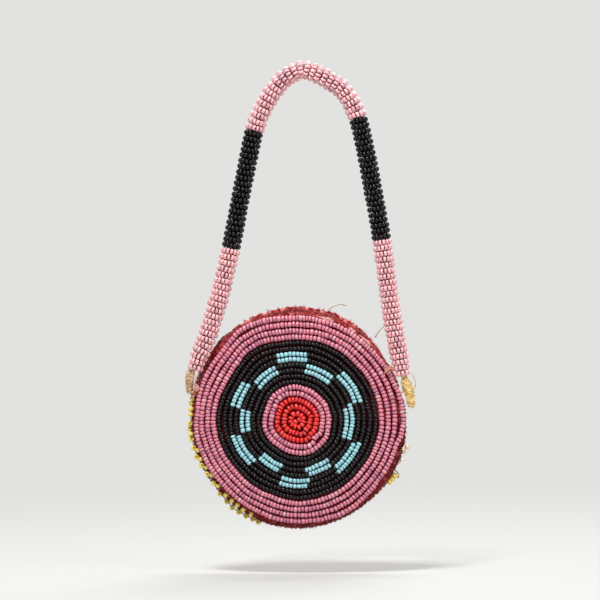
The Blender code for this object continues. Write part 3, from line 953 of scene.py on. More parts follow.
class Shape:
    """Points and faces gathered for one mesh, with what its finish reads at each point."""

    def __init__(self):
        self.points = []
        self.tones = []
        self.rises = []
        self.faces = []
        self.slots = []
        self.count = 0

    def add(self, points, faces, slot=0, tone=0.5, rise=0.0):
        start = self.count
        self.count += len(points)
        self.points.append(np.asarray(points, dtype=float))
        self.tones.append(np.broadcast_to(tone, len(points)))
        self.rises.append(np.broadcast_to(rise, len(points)))
        self.faces += [[start + index for index in face] for face in faces]
        self.slots += [slot] * len(faces)

    def bead(self, centre, axis, up, radius, length, slot=0, tone=0.5):
        """A seed bead: a short rounded ring round its own axis."""
        side = axis.cross(up)
        out, along, turns = RING
        points = (
            np.array(centre)
            + np.outer(along * length / 2, axis)
            + np.outer(out * radius * np.cos(turns), up)
            + np.outer(out * radius * np.sin(turns), side)
        )
        self.add(points, RING_FACES, slot, tone, out * np.cos(turns))

    def tube(self, path, radii, sides=6, slot=0, tone=0.5, closed=False, facing=None, flat=1.0):
        """A round or flattened section swept along a path; facing is its flat side."""
        count = len(path)
        radii = np.broadcast_to(radii, count)
        tones = np.repeat(np.broadcast_to(tone, count), sides)
        across = facing or ANY_WAY
        points = []
        rises = []
        for index, point in enumerate(path):
            before = path[index - 1] if index or closed else point
            after = path[(index + 1) % count] if index + 1 < count or closed else point
            along = (after - before).normalized()
            across = facing or across
            across = (across - along * across.dot(along)).normalized()
            other = along.cross(across)
            for side in range(sides):
                turn = math.tau * side / sides
                spoke = across * math.cos(turn) * flat + other * math.sin(turn)
                points.append(point + spoke * radii[index])
                rises.append(-spoke.y)
        faces = []
        for ring in range(count if closed else count - 1):
            here, ahead = ring * sides, (ring + 1) % count * sides
            for side in range(sides):
                next_side = (side + 1) % sides
                faces.append((here + side, here + next_side, ahead + next_side, ahead + side))
        if not closed:
            faces.append(tuple(range(sides - 1, -1, -1)))
            faces.append(tuple((count - 1) * sides + side for side in range(sides)))
        self.add(points, faces, slot, tones, rises)

    def mesh(self, name):
        mesh = bpy.data.meshes.new(name)
        mesh.from_pydata(np.concatenate(self.points).tolist(), [], self.faces)
        for key, values in (("tone", self.tones), ("rise", self.rises)):
            layer = mesh.attributes.new(key, "FLOAT", "POINT")
            layer.data.foreach_set("value", np.concatenate(values))
        mesh.polygons.foreach_set("material_index", self.slots)
        mesh.shade_smooth()
        return mesh


def ring_template():
    """A bead's points as shares of its radius and half length, with each point's turn."""
    section = np.arange(RING_SECTION) * math.tau / RING_SECTION
    thick = (1 - HOLE_SHARE) / 2
    out = 1 - thick + thick * np.cos(section)
    along = np.sin(section)
    turns = np.arange(RING_SEGMENTS) * math.tau / RING_SEGMENTS
    faces = []
    for turn in range(RING_SEGMENTS):
        here, ahead = turn * RING_SECTION, (turn + 1) % RING_SEGMENTS * RING_SECTION
        for spot in range(RING_SECTION):
            further = (spot + 1) % RING_SECTION
            faces.append((here + spot, here + further, ahead + further, ahead + spot))
    spread = np.repeat(turns, RING_SECTION)
    return (np.tile(out, RING_SEGMENTS), np.tile(along, RING_SEGMENTS), spread), faces


RING, RING_FACES = ring_template()


def add_object(name, data):
    made = bpy.data.objects.new(name, data)
    bpy.context.scene.collection.objects.link(made)
    return made


def place(shape, name, finishes, body, slot, *nodes):
    """Makes the piece of a shape or a mesh, gives its finishes, and puts it on a body."""
    mesh = shape.mesh(name) if isinstance(shape, Shape) else shape
    piece = add_object(name, mesh)
    for finish in finishes:
        mesh.materials.append(finish_named(finish))
    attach(piece, body)
    if nodes:
        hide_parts(*nodes)
    return piece


def roughen(mesh, amount):
    """Moves each point straight out of the surface by an amount for its place."""
    mesh.update()
    ways = [normal.vector.copy() for normal in mesh.vertex_normals]
    for vertex, way in zip(mesh.vertices, ways):
        vertex.co += way * amount(vertex.co)


def clouds(point, grain, seed=0):
    """Noise from -1 to 1 with lumps about that big."""
    return noise.noise(point / grain + Vector((seed * 7.3, seed * 3.1, seed * 5.7)))


def fused(shape, name, voxel):
    """The shape's overlapping bodies as one skin."""
    rough = add_object(name, shape.mesh(name))
    skin = rough.modifiers.new("skin", "REMESH")
    skin.mode = "VOXEL"
    skin.voxel_size = voxel
    skin.use_smooth_shade = True
    even = rough.modifiers.new("even", "SMOOTH")
    even.iterations = 1
    bpy.context.view_layer.update()
    graph = bpy.context.evaluated_depsgraph_get()
    mesh = bpy.data.meshes.new_from_object(rough.evaluated_get(graph))
    bpy.data.objects.remove(rough)
    mesh.name = name
    return mesh


def give_tone(mesh, tone, key="tone"):
    """Stores a share for each point: tone, read as wear and on the wool's knobs partly as painted
    highlight, or shade, read as painted shade.
    """
    layer = mesh.attributes.get(key) or mesh.attributes.new(key, "FLOAT", "POINT")
    layer.data.foreach_set("value", [tone(vertex.co) for vertex in mesh.vertices])


def some_way(draw):
    """A random direction."""
    return Vector([draw.gauss(0, 1) for _ in range(3)]).normalized()


def leaning(draw, axis, up, lean):
    """A bead's axis leant a little some way, and its up square to that."""
    axis = (axis + some_way(draw) * lean).normalized()
    return axis, (up - axis * up.dot(axis)).normalized()


def make_shell(name, front, inset, thickness):
    """One half's cloth or lining: both faces of its section, spun and opened at the mouth."""
    dome = FRONT if front else BACK
    outer = dome.profile(-inset)
    inner = dome.profile(-inset - thickness)[::-1]
    section = outer[1:] + inner[:-1]
    count = len(section)
    points = [pouch_point(0, outer[0][1], 0, front), pouch_point(0, inner[-1][1], 0, front)]
    faces = []
    for step in range(ROUND_STEPS):
        azimuth = math.tau * step / ROUND_STEPS
        points += [pouch_point(radius, height, azimuth, front) for radius, height in section]
        here, ahead = 2 + step * count, 2 + (step + 1) % ROUND_STEPS * count
        faces.append((0, here, ahead))
        faces.append((1, ahead + count - 1, here + count - 1))
        for spot in range(count - 1):
            faces.append((here + spot, here + spot + 1, ahead + spot + 1, ahead + spot))
    if not front:
        faces = [face[::-1] for face in faces]
    shape = Shape()
    shape.add([CENTRE + point for point in points], faces, tone=0.0)
    return shape.mesh(name)


def azimuth_of(point):
    return math.atan2(point.x - CENTRE.x, point.z - CENTRE.z)


def radius_of(point):
    return math.hypot(point.x - CENTRE.x, point.z - CENTRE.z)


def sewn_share(azimuth):
    """1 round the sewn rim, where the wool takes painted shade and paler knobs, 0 at the mouth and
    a little way past its left corner.
    """
    degrees = math.degrees(azimuth)
    return smooth((degrees - 46) / 14) if degrees > 0 else smooth((-degrees - 78) / 10)


def corner_share(azimuth):
    """How much paler the wool's knobs are at the mouth's left corner, behind the strap's end: wear
    and painted highlight.
    """
    return 0.6 * bell(math.degrees(azimuth) + 64, 12)


def rim_share(point):
    """0 over the pouch's face, 1 at the edge of the rim."""
    return rimward(radius_of(point), 0.93, 0.06)


def beside_thong(degrees):
    """Whether a thong goes through the rim there, so that stitches and fuzz keep away."""
    return abs(abs(math.remainder(degrees, 360)) - THONG_DEG) < THONG_ROOM


def fibre(shape, draw, root, way, reach, tone=0.0, slot=0):
    """One curly wool fibre or tuft of a few, paler toward its tip."""
    wool = bpy.context.scene.pouch_cloth
    stray = some_way(draw) * reach * 0.45
    path = [
        root - way * reach * 0.15,
        root + way * reach * 0.35 + stray * 0.3,
        root + way * reach * 0.7 + stray,
        root + way * reach * 0.85 + stray * 1.8,
    ]
    thick = wool.fibre_radius * draw.uniform(0.7, 1.4)
    radii = [thick, thick * 0.95, thick * 0.7, thick * 0.25]
    shape.tube(path, radii, 3, slot, [tone, tone + 0.3, min(tone + 0.6, 1), min(tone + 0.9, 1)])


def fuzz_edge(shape, draw, front, first, last, tufts, fibres, reach, worn=0.0):
    """Knobbly tufts of fibres along a raw edge, paler where it is worn."""
    for tuft in range(tufts):
        share = (tuft + draw.uniform(0.1, 0.9)) / tufts
        degrees = first + (last - first) * share
        if beside_thong(degrees):
            continue
        azimuth = math.radians(degrees)
        angle = math.radians(draw.uniform(20, 88))
        root = on_rim(angle, 0, azimuth, front)
        out = (on_rim(angle, 0.001, azimuth, front) - root).normalized()
        lean = (out + some_way(draw) * 0.4).normalized()
        size = reach * draw.uniform(0.5, 1.2)
        pale = draw.uniform(-0.1, 0.35) + worn
        for _ in range(fibres):
            spot = root + some_way(draw) * reach * 0.45
            way = (lean + some_way(draw) * 0.7).normalized()
            fibre(shape, draw, spot, way, size * draw.uniform(0.5, 1.1), min(max(pale, 0), 1))


def make_cloth(front):
    """One half's wool with its uneven raw edge, and the fibres that stand off it."""
    wool = bpy.context.scene.pouch_cloth
    side = "front" if front else "back"
    seed = 1 if front else 2
    mesh = make_shell(f"{side}_wool", front, 0, CLOTH)

    def knobs(point):
        return clouds(point, 0.0016, seed) + 0.55 * clouds(point, 0.0007, seed)

    def amount(point):
        edge = rim_share(point)
        face = 0.06 * clouds(point, 0.0009, seed) + (0 if front else 0.5 * clouds(point, 0.012))
        return wool.lump * (edge * knobs(point) + (1 - edge) * face)

    # Paler knob peaks along the rim: partly worn fibre, partly a painted highlight
    def worn(point):
        azimuth = azimuth_of(point)
        where = max(mouth_share(azimuth), 0.45 * sewn_share(azimuth), corner_share(azimuth))
        return rim_share(point) * where * smooth(2.2 * knobs(point) - 0.1)

    # Painted shade: in the knobs' hollows, round the sewn rim, on the cloth under the beads,
    # deepest under the black lanes, and on the front curl's turned edge at the mouth
    def shaded(point):
        away, azimuth = radius_of(point), azimuth_of(point)
        hollow = rim_share(point) * smooth(-1.8 * knobs(point)) * 0.75
        if not front:
            return hollow
        sewn = rim_share(point) * sewn_share(azimuth) * (0.6 - 0.35 * knobs(point))
        black = 0.96 if DARK_LANES[0] < away < DARK_LANES[1] else 0.3
        beaded = 0 if away > BEADWORK_RADIUS else black
        turned = 0.8 * mouth_share(azimuth) * rimward(away, 1.003, 0.018)
        return max(hollow, sewn, beaded, turned)

    roughen(mesh, amount)
    give_tone(mesh, worn)
    give_tone(mesh, shaded, "shade")
    cloth = place(mesh, f"{side}_wool", ["red_cloth"], "pouch", "red_wool", f"{side}_cloth")
    fuzz = Shape()
    draw = random.Random(f"{side} fuzz")
    reach = wool.fibre_length
    right, left = SEWN_DEG
    fuzz_edge(fuzz, draw, front, left - 360, right, wool.mouth_tufts, 12, reach)
    fuzz_edge(fuzz, draw, front, right, left, wool.rim_tufts, 6, reach * 0.8)
    if front:
        fuzz_edge(fuzz, draw, front, *CORNER_DEG, wool.corner_tufts, 10, reach * 2.2, 0.3)
    else:
        for _ in range(wool.nap_fibres):
            radius = RIM_RADIUS * math.sqrt(draw.uniform(0, 0.92))
            azimuth = draw.uniform(0, math.tau)
            root = CENTRE + pouch_point(*BACK.over(radius, 0), azimuth, False)
            way = (some_way(draw) + Vector((0, 0.25, -0.5))).normalized()
            fibre(fuzz, draw, root, way, reach * draw.uniform(0.4, 1.0), 0.1)
    strands = place(fuzz, f"{side}_wool_fibres", ["red_cloth"], "pouch", "red_wool")


def make_lining(front):
    side = "front" if front else "back"
    mesh = make_shell(f"{side}_hide", front, CLOTH + LINING_CLEARANCE, LINING)
    roughen(mesh, lambda point: 0.00006 * clouds(point, 0.002, 3))
    give_tone(mesh, lambda point: 0.3 * rim_share(point))
    place(mesh, f"{side}_hide", ["lining_hide"], "pouch", "hide", f"{side}_lining")


def in_dash(degrees, dashes):
    return any((degrees - first) % 360 <= last - first for first, last in dashes)


def stray(lane, radius, azimuth, seed):
    """How far outward the sewing strays there."""
    beads = bpy.context.scene.pouch_beads
    spot = Vector((math.sin(azimuth), math.cos(azimuth), 0)) * radius
    total = sway(radius, azimuth) + beads.wander * clouds(spot, 0.0032, seed)
    for middle, outward, width in STRAYS.get(lane, ()):
        total += outward * bell(math.remainder(math.degrees(azimuth) - middle, 360), width)
    return total


def make_lane(lane, glass, radius, bead, dashes, seed):
    """A lane of beads on its thread, held down by a stitch every few beads."""
    beads = bpy.context.scene.pouch_beads
    draw = random.Random(f"{lane} beads")
    count = round(math.tau * radius / beads.bead_length)
    lengths = [1 + draw.gauss(0, beads.uneven) for _ in range(count)]
    whole = sum(lengths)
    azimuth = draw.uniform(0, math.tau)
    spots = []
    for size in lengths:
        turn = math.tau * size / whole
        azimuth += turn / 2
        away = radius + stray(lane, radius, azimuth, seed)
        height = LANE_CLEARANCE + bead * draw.uniform(0.92, 1.1)
        centre, up = over_front(away, azimuth, height)
        spots.append((centre, up, azimuth, turn * radius))
        azimuth += turn / 2
    shape = Shape()
    for index, (centre, up, turn, room) in enumerate(spots):
        axis = (spots[(index + 1) % count][0] - spots[index - 1][0]).normalized()
        axis, up = leaning(draw, axis, up, BEAD_LEAN)
        slot = int(in_dash(math.degrees(turn), dashes))
        radius_here = bead * draw.uniform(0.92, 1.06)
        shape.bead(centre, axis, up, radius_here, room * BEAD_FILL, slot, draw.random())
    path = [centre for centre, *_ in spots]
    shape.tube(path, beads.thread_radius, 5, 2, closed=True)
    for index in range(0, count - 1, beads.stitch_every):
        centre, up, *_ = spots[index]
        following = spots[index + 1][0]
        middle = (centre + following) / 2
        side = (following - centre).normalized().cross(up)
        stitch = [middle + side * out * bead + up * rise * bead for out, rise in STITCH]
        shape.tube(stitch, beads.thread_radius * 0.8, 5, 2, facing=OUTWARD)
    finishes = [f"{glass}_bead_glass", "turquoise_bead_glass", "bead_thread"]
    place(shape, f"{lane}_beads", finishes, "pouch", f"{glass}_glass", lane)


def make_centre():
    beads = bpy.context.scene.pouch_beads
    size = CENTRE_RADIUS - LANE_GAP / 2
    shape = Shape()
    places = [Vector((x, 0, z)) for x, z in CENTRE_PAIR]
    axis = (places[0] - places[1]).normalized()
    for number, spot in enumerate(places):
        height = FRONT_DEPTH + LANE_CLEARANCE + size * 0.95
        centre = CENTRE + spot + OUTWARD * height
        shape.bead(centre, axis, OUTWARD, size, beads.bead_length * 0.98, 0, 0.4 + number * 0.3)
    seat = CENTRE + OUTWARD * (FRONT_DEPTH + LANE_CLEARANCE + size)
    ends = [seat + axis * reach * size for reach in (-2, -1, 0, 1, 2)]
    ends[0] -= OUTWARD * size
    ends[-1] -= OUTWARD * size
    shape.tube(ends, beads.thread_radius, 5, 1)
    finishes = ["red_bead_glass", "bead_thread"]
    place(shape, "centre_beads", finishes, "pouch", "red_glass", "centre_bead")


def make_beadwork():
    make_centre()
    edge = CENTRE_RADIUS
    seed = 0
    for name, glass, width, count in LANES:
        bead = (width - BEAD_GAP) / 2
        for number in range(1, count + 1):
            seed += 1
            dashes = DASHES.get(name, ())
            make_lane(f"{name}_{number}", glass, edge + width / 2, bead, dashes, seed)
            edge += width


def make_strap():
    """Rows of beads round the strap on one thread, each half a bead on from the last."""
    beads = bpy.context.scene.pouch_beads
    draw = random.Random("strap beads")
    whole = STRAP.length + sum(BEADS_PAST)
    edge = -BEADS_PAST[0]
    phase = 0.0
    for name, glass, portion, rows in SLEEVES:
        shape = Shape()
        path = []
        pitch = portion * whole / rows
        for row in range(rows):
            distance = edge + (row + 0.5) * pitch
            reach = BEADED_RADIUS * strap_share(distance) - beads.strap_bead_radius
            count = math.floor(math.tau * reach / beads.strap_bead_length)
            middle, along = STRAP.at(distance), STRAP.along(distance)
            outer = Vector((-along.z, 0, along.x))
            for number in range(count):
                turn = -math.tau * (number + phase) / count
                up = outer * math.cos(turn) + OUTWARD * math.sin(turn)
                room = pitch * (1 + STRAP.bend(distance) * reach * math.cos(turn))
                size = min(beads.strap_bead_radius, room / 2) * draw.uniform(0.95, 1.04)
                sway = along * pitch * 0.09 * clouds(middle + up * 0.002, 0.003)
                centre = middle + up * (reach + draw.uniform(-1, 1) * 0.00007) + sway
                axis = outer * math.sin(turn) - OUTWARD * math.cos(turn)
                axis, up = leaning(draw, axis, up, BEAD_LEAN)
                long = math.tau * reach / count * (1 + draw.gauss(0, beads.uneven / 2))
                shape.bead(centre, axis, up, size, long * BEAD_FILL, 0, draw.random())
                path.append(centre)
            phase += 0.5 + draw.uniform(-0.1, 0.1)
        edge += portion * whole
        shape.tube(path, beads.thread_radius, 4, 1)
        finishes = [f"{glass}_bead_glass", "bead_thread"]
        place(shape, f"{name}_beads", finishes, "strap", f"{glass}_glass", name)


def make_core():
    """The wound core: a cord whose windings stand out as ridges."""
    beads = bpy.context.scene.pouch_beads
    steps = round(STRAP.length / PATH_STEP)
    path = []
    radii = []
    for step in range(steps + 1):
        distance = STRAP.length * step / steps
        full = STRAP_RADIUS * strap_share(distance) - 2 * beads.strap_bead_radius
        path.append(STRAP.at(distance))
        radii.append(full + CORE_PROUD + CORE_RIDGE * math.sin(step * CORE_RIDGE_TURN))
    shape = Shape()
    shape.tube(path, radii, 18, facing=OUTWARD)
    mesh = shape.mesh("strap_core")
    roughen(mesh, lambda point: 0.0001 * clouds(point, 0.0007, 4))
    place(mesh, "strap_core", ["strap_core"], "strap", "cord", "strap_cord")


def make_edge_beads():
    draw = random.Random("edge beads")
    make_left_edge(draw)
    make_right_edge(draw)


def make_left_edge(draw):
    """Yellow edge beads on their thread, with darker mates behind them."""
    shape = Shape()
    thread = []
    for degrees, radius, hole in LEFT_EDGE:
        centre, up = edge_place(degrees, radius)
        add_edge_bead(shape, draw, centre, up, hole)
        thread += [centre, edge_place(degrees - 1.3, radius - 0.3)[0]]
    for degrees, radius in LEFT_MATES:
        centre, up = edge_place(degrees, radius)
        add_edge_bead(shape, draw, centre - up * 0.0003, up, "along", shade=0.5)
    shape.tube(thread, bpy.context.scene.pouch_beads.thread_radius * 1.2, 5, 1)
    finishes = ["yellow_bead_glass", "edge_thread"]
    place(shape, "yellow_edge_beads", finishes, "pouch", "yellow_glass", "yellow_edging")


def make_right_edge(draw):
    """The odd beads that are left on the right, each on its end of thread."""
    shape = Shape()
    glasses = ["yellow", "cream", "white"]
    for glass, degrees, radius, slope in RIGHT_EDGE:
        centre, _ = edge_place(degrees, radius)
        size = bpy.context.scene.pouch_beads.edge_bead_radius * EDGE_SIZES[glass]
        slope = math.radians(slope + draw.uniform(-6, 6))
        axis = Vector((math.cos(slope), draw.uniform(-0.25, 0.25), math.sin(slope))).normalized()
        side = (OUTWARD - axis * OUTWARD.dot(axis)).normalized()
        slot = glasses.index(glass)
        shape.bead(centre, axis, side, size, size * 1.3, slot, draw.uniform(0.2, 0.8))
        before = edge_place(degrees + 0.8, radius - 0.9)[0]
        shape.tube([before, centre - axis * size, centre + axis * size * 0.9], 0.00014, 5, 3)
    path = [edge_place(*spot)[0] for spot in RIGHT_THREAD]
    shape.tube(smooth_path(path, PATH_STEP), 0.00026, 6, 3)
    finishes = [f"{glass}_bead_glass" for glass in glasses] + ["edge_thread"]
    place(shape, "right_edge_beads", finishes, "pouch", "yellow_glass", "right_edging")


def edge_place(degrees, radius):
    """A bead's place on the rim, seen at a radius in millimetres, and the way out there."""
    radius *= 0.001
    proud = max(EDGE_BEAD_PROUD, radius - RIM_RADIUS + EDGE_MARGIN)
    angle = math.asin((radius - RIM_RADIUS + CURL_RADIUS) / (CURL_RADIUS + proud))
    azimuth = math.radians(degrees)
    centre, further = (on_rim(angle, out, azimuth, True) for out in (proud, proud + PROBE))
    return centre, (further - centre).normalized()


def add_edge_bead(shape, draw, centre, up, hole, slot=0, shade=0.0):
    """One edge bead, its hole along the rim or out to the front."""
    size = bpy.context.scene.pouch_beads.edge_bead_radius * draw.uniform(0.93, 1.05)
    along = up.cross(OUTWARD).normalized()
    axis, up = leaning(draw, along if hole == "along" else OUTWARD, up, 0.35)
    length = size * draw.uniform(1.35, 1.65)
    shape.bead(centre, axis, up, size, length, slot, draw.uniform(0.2, 0.9) * (1 - shade))


def make_seam():
    """Whip stitches over the sewn edge."""
    draw = random.Random("seam")
    shape = Shape()
    thick = bpy.context.scene.pouch_beads.thread_radius * 1.05
    degrees, end = SEWN_DEG
    while degrees < end:
        first = math.radians(degrees)
        lean = math.radians(draw.uniform(0.9, 1.6))
        path = []
        for step, (angle, front) in enumerate(SEAM_LOOP):
            azimuth = first + lean * step / (len(SEAM_LOOP) - 1)
            path.append(on_rim(math.radians(angle), SEAM_PROUD, azimuth, front))
        if not beside_thong(degrees):
            shape.tube(path, thick, 5, tone=draw.random())
        degrees += draw.uniform(2.2, 3.1)
    place(shape, "seam_stitches", ["seam_thread"], "pouch", "sinew")


def make_mouth_strip():
    """The strip of hide that shows beside the mouth."""
    shape = Shape()
    for first, last in STRIPS:
        path = []
        widths = []
        for step in range(STRIP_STEPS + 1):
            azimuth = math.radians(first + (last - first) * step / STRIP_STEPS)
            wave = 0.00025 * clouds(Vector((azimuth * 40, 0, 0)), 1.0)
            path.append(over_front(STRIP_RADIUS + wave, azimuth, STRIP_PROUD)[0])
            inward = smooth(min(step, STRIP_STEPS - step) / 8)
            widths.append(STRIP_HALF_WIDTH * (0.3 + 0.7 * inward))
        shape.tube(path, widths, 8, facing=OUTWARD, flat=0.5)
    mesh = shape.mesh("mouth_strip")
    roughen(mesh, lambda point: 0.00022 * clouds(point, 0.0006, 6))
    place(mesh, "mouth_strip", ["salmon_hide"], "pouch", "hide")


def twist(places, coils, turns, strands):
    """Strands wound round a middle line: a path for each."""
    path = route(places, FINE_STEP)
    spread = spaced(coils, len(path))
    paths = []
    for strand in range(strands):
        turned = []
        for step, (point, coil) in enumerate(zip(path, spread)):
            angle = math.tau * (turns * step / len(path) + strand / strands)
            turned.append(point + Vector((math.cos(angle), math.sin(angle), 0)) * coil)
        paths.append(turned)
    return paths


def spaced(values, count):
    """The values spread over that many points."""
    spots = np.linspace(0, 1, count)
    return np.interp(spots, np.linspace(0, 1, len(values)), values).tolist()


def make_knot(name, rolls, finish, node, fold, lean):
    """Rolls of hide fused into one lump with creases that run down it, leaning so much."""
    shape = Shape()
    for places, radii, flat in rolls:
        path = route(places, 0.0004)
        shape.tube(path, spaced(radii, len(path)), 14, facing=OUTWARD, flat=flat)
    if node == "right_tie":
        for path in twist(*RIGHT_TWIST):
            shape.tube(path, RIGHT_STRAND, 10, facing=OUTWARD)
    mesh = fused(shape, name, 0.00014)

    def crease(point):
        across = Vector((point.x + lean * point.z, point.y, 0.4 * point.z))
        return abs(clouds(across, fold, 8)) - 0.2

    roughen(mesh, lambda point: 0.0006 * crease(point) + 0.0001 * clouds(point, 0.0004, 9))
    give_tone(mesh, lambda point: smooth(0.2 + clouds(point, 0.0008, 10)))
    give_tone(mesh, lambda point: smooth(-4 * crease(point)), "shade")
    place(mesh, name, [finish], "strap", "hide", node)


def make_frays(name, finish, ends, way, number, reach):
    """Thin torn shreds of hide at a tie's cut ends."""
    draw = random.Random(name)
    shape = Shape()
    for _ in range(number):
        root = Vector(draw.choice(ends)) + some_way(draw) * 0.0006
        lean = (Vector(way) + some_way(draw) * 0.6).normalized()
        bow = some_way(draw) * reach * 0.2
        way_out = lean * reach * draw.uniform(0.4, 1)
        path = [root - way_out * 0.3, root + way_out * 0.4 + bow * 0.5, root + way_out + bow]
        thick = draw.uniform(0.00008, 0.0002)
        shape.tube(path, [thick, thick * 0.8, thick * 0.2], 5, tone=draw.random(), flat=0.5)
    place(shape, name, [finish], "strap", "hide")


def make_ties():
    make_knot("left_tie_hide", LEFT_TIE_ROLLS, "tan_hide", "left_tie", 0.0008, -0.1)
    make_knot("right_tie_hide", RIGHT_TIE_ROLLS, "yellow_hide", "right_tie", 0.0009, 0.35)
    make_frays("left_tie_frays", "tan_hide", LEFT_FRAY_ENDS, (-0.2, -0.1, -1), 22, 0.0016)
    make_frays("right_tie_frays", "yellow_hide", RIGHT_FRAY_ENDS, (0.1, 0, -1), 12, 0.001)
    shape = Shape()
    shape.tube(route(GREY_THREAD), 0.00022, 6)
    place(shape, "grey_thread", ["loose_sinew"], "strap", "sinew")


def make_thongs():
    """Hide thongs through the rim and into the ties."""
    for side, name in ((-1, "left_thong"), (1, "right_thong")):
        low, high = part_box(name)
        near, far = (high.x, low.x) if side < 0 else (low.x, high.x)
        far -= side * 0.001
        middle = (low.z + high.z) / 2
        reach = far - near
        places = (
            (near, low.y + 0.0012, middle),
            (near + reach * 0.18, 0.0009, middle),
            (near + reach * 0.32, 0.0001, middle),
            (far, 0, middle),
        )
        shape = Shape()
        shape.tube(route(places, FINE_STEP), 0.0004, 10, facing=OUTWARD, flat=0.9)
        mesh = shape.mesh(f"{name}_hide")
        roughen(mesh, lambda point: 0.00005 * clouds(point, 0.0005, 11))
        place(mesh, f"{name}_hide", ["pink_hide"], "pouch", "hide", name)


def make_laps():
    """Laps and scraps of torn hide beside the thongs."""
    for name, finish, places, half_width, strands in LAPS:
        draw = random.Random(name)
        shape = Shape()
        path = route(places, FINE_STEP)
        side = (path[-1] - path[0]).cross(OUTWARD).normalized()
        for strand in range(strands):
            out = half_width * (2 * strand / (strands - 1) - 1)
            start, end = draw.uniform(0, 0.2), draw.uniform(0.8, 1)
            part = path[round(start * len(path)) : round(end * len(path))]
            wave = draw.uniform(-1, 1) * 0.0002
            line = [
                point + side * (out + wave * math.sin(step * 0.5))
                for step, point in enumerate(part)
            ]
            thick = draw.uniform(0.00022, 0.00034)
            shape.tube(line, spaced((thick * 0.6, thick, thick * 0.5), len(line)), 8)
        mesh = fused(shape, name, 0.0001)
        roughen(mesh, lambda point: 0.00008 * clouds(point, 0.0004, 12))
        give_tone(mesh, lambda point: smooth(clouds(point, 0.0006, 10)))
        place(mesh, name, [finish], "pouch", "hide")


def make_sinew():
    """Loose ends of sinew at the mouth."""
    for node, places, hairs in SINEWS:
        shape = Shape()
        draw = random.Random(node)
        for number, path in enumerate(twist(places, (0.00008, 0.0001), 3, 3)):
            shape.tube(path, spaced((0.00026, 0.0002), len(path)), 8, tone=number / 3)
        tip = Vector(places[-1])
        for _ in range(hairs):
            lean = (tip - Vector(places[-2])).normalized() + some_way(draw) * 0.35
            bow = some_way(draw) * 0.0002
            root = tip - lean * 0.0007
            path = [root, root + lean * 0.0006 + bow, root + lean * draw.uniform(0.0008, 0.0013)]
            shape.tube(path, [0.00016, 0.00014, 0.00006], 5, tone=draw.random())
        place(shape, f"{node}_ends", ["loose_sinew"], "pouch", "sinew", node)


def make_floor_finish(pale):
    """Paper that keeps the shadow near the pouch and turns into the plain backdrop far off."""
    finish = material_finish("floor_paper", Roughness=0.95, Specular_IOR_Level=0.1)
    fibres = finish.noise(0.004, 3.0)
    near = tinted(pale, FLOOR_SHADE)
    finish.finish(Base_Color=finish.mix(fibres, near, tinted(near, 0.96)))
    away = finish.node("ShaderNodeVectorMath", {"operation": "LENGTH"}, {0: finish.place}, "Value")
    far = finish.steps(away, *FLOOR_FADE)
    glow = finish.node("ShaderNodeEmission", {}, {"Color": pale, "Strength": 1.0})
    shader = Number(finish, finish.shader.outputs[0])
    mixed = finish.node("ShaderNodeMixShader", {}, {0: far * finish.seen(), 1: shader, 2: glow})
    finish.feed(finish.tree.nodes["Material Output"].inputs["Surface"], mixed)
    return finish.owner


def make_stage():
    """A pale floor that fades into the backdrop, soft lamps and the camera."""
    scene = bpy.context.scene
    stage = scene.pouch_stage
    points = [(0, 0, -stage.floor_drop)]
    for turn in range(FLOOR_STEPS):
        angle = math.tau * turn / FLOOR_STEPS
        across, depth = FLOOR_RADIUS * math.sin(angle), FLOOR_RADIUS * math.cos(angle)
        points.append((across, depth, -stage.floor_drop))
    faces = [(0, 1 + (turn + 1) % FLOOR_STEPS, 1 + turn) for turn in range(FLOOR_STEPS)]
    mesh = bpy.data.meshes.new("floor_paper")
    mesh.from_pydata(points, [], faces)
    mesh.materials.append(make_floor_finish(tuple(stage.pale)))
    add_object("floor_paper", mesh)
    aim = Vector((-stage.shift, 0, -stage.lift))
    for name, width, spot in LAMPS:
        lamp = bpy.data.lights.new(f"{name}_lamp", "AREA")
        lamp.energy = getattr(stage, name)
        lamp.size = width
        holder = add_object(f"{name}_lamp", lamp)
        holder.location = spot
        holder.rotation_euler = (aim - Vector(spot)).to_track_quat("-Z", "Y").to_euler()
    sky = Finish(bpy.data.worlds.new("studio"))
    light = (stage.world,) * 3
    scene.world = sky.finish(Color=sky.mix(sky.seen(), light, tuple(stage.pale)))
    view = bpy.data.cameras.new("view")
    view.sensor_width = SENSOR
    view.lens = SENSOR * stage.distance / stage.view_width
    view.clip_end = VIEW_END
    scene.camera = add_object("view", view)
    scene.camera.location = aim + OUTWARD * stage.distance
    scene.camera.rotation_euler = (math.radians(90), 0, 0)
    scene.view_settings.view_transform = "Standard"


class WATCHPOUCH_OT_stage(bpy.types.Operator):
    """Make the floor, the backdrop, the lamps and the camera"""

    bl_idname = "watchpouch.stage"
    bl_label = "Stage"

    def execute(self, context):
        make_stage()
        return {"FINISHED"}


class WATCHPOUCH_OT_linings(bpy.types.Operator):
    """Make the two hide linings"""

    bl_idname = "watchpouch.linings"
    bl_label = "Linings"

    def execute(self, context):
        make_lining(True)
        make_lining(False)
        return {"FINISHED"}


class WATCHPOUCH_OT_cloth(bpy.types.Operator):
    """Make the front and back of red wool with their fibres"""

    bl_idname = "watchpouch.cloth"
    bl_label = "Wool cloth"

    def execute(self, context):
        make_cloth(True)
        make_cloth(False)
        return {"FINISHED"}


class WATCHPOUCH_OT_beadwork(bpy.types.Operator):
    """Make the lanes of beads on the front"""

    bl_idname = "watchpouch.beadwork"
    bl_label = "Beadwork"

    def execute(self, context):
        make_beadwork()
        return {"FINISHED"}


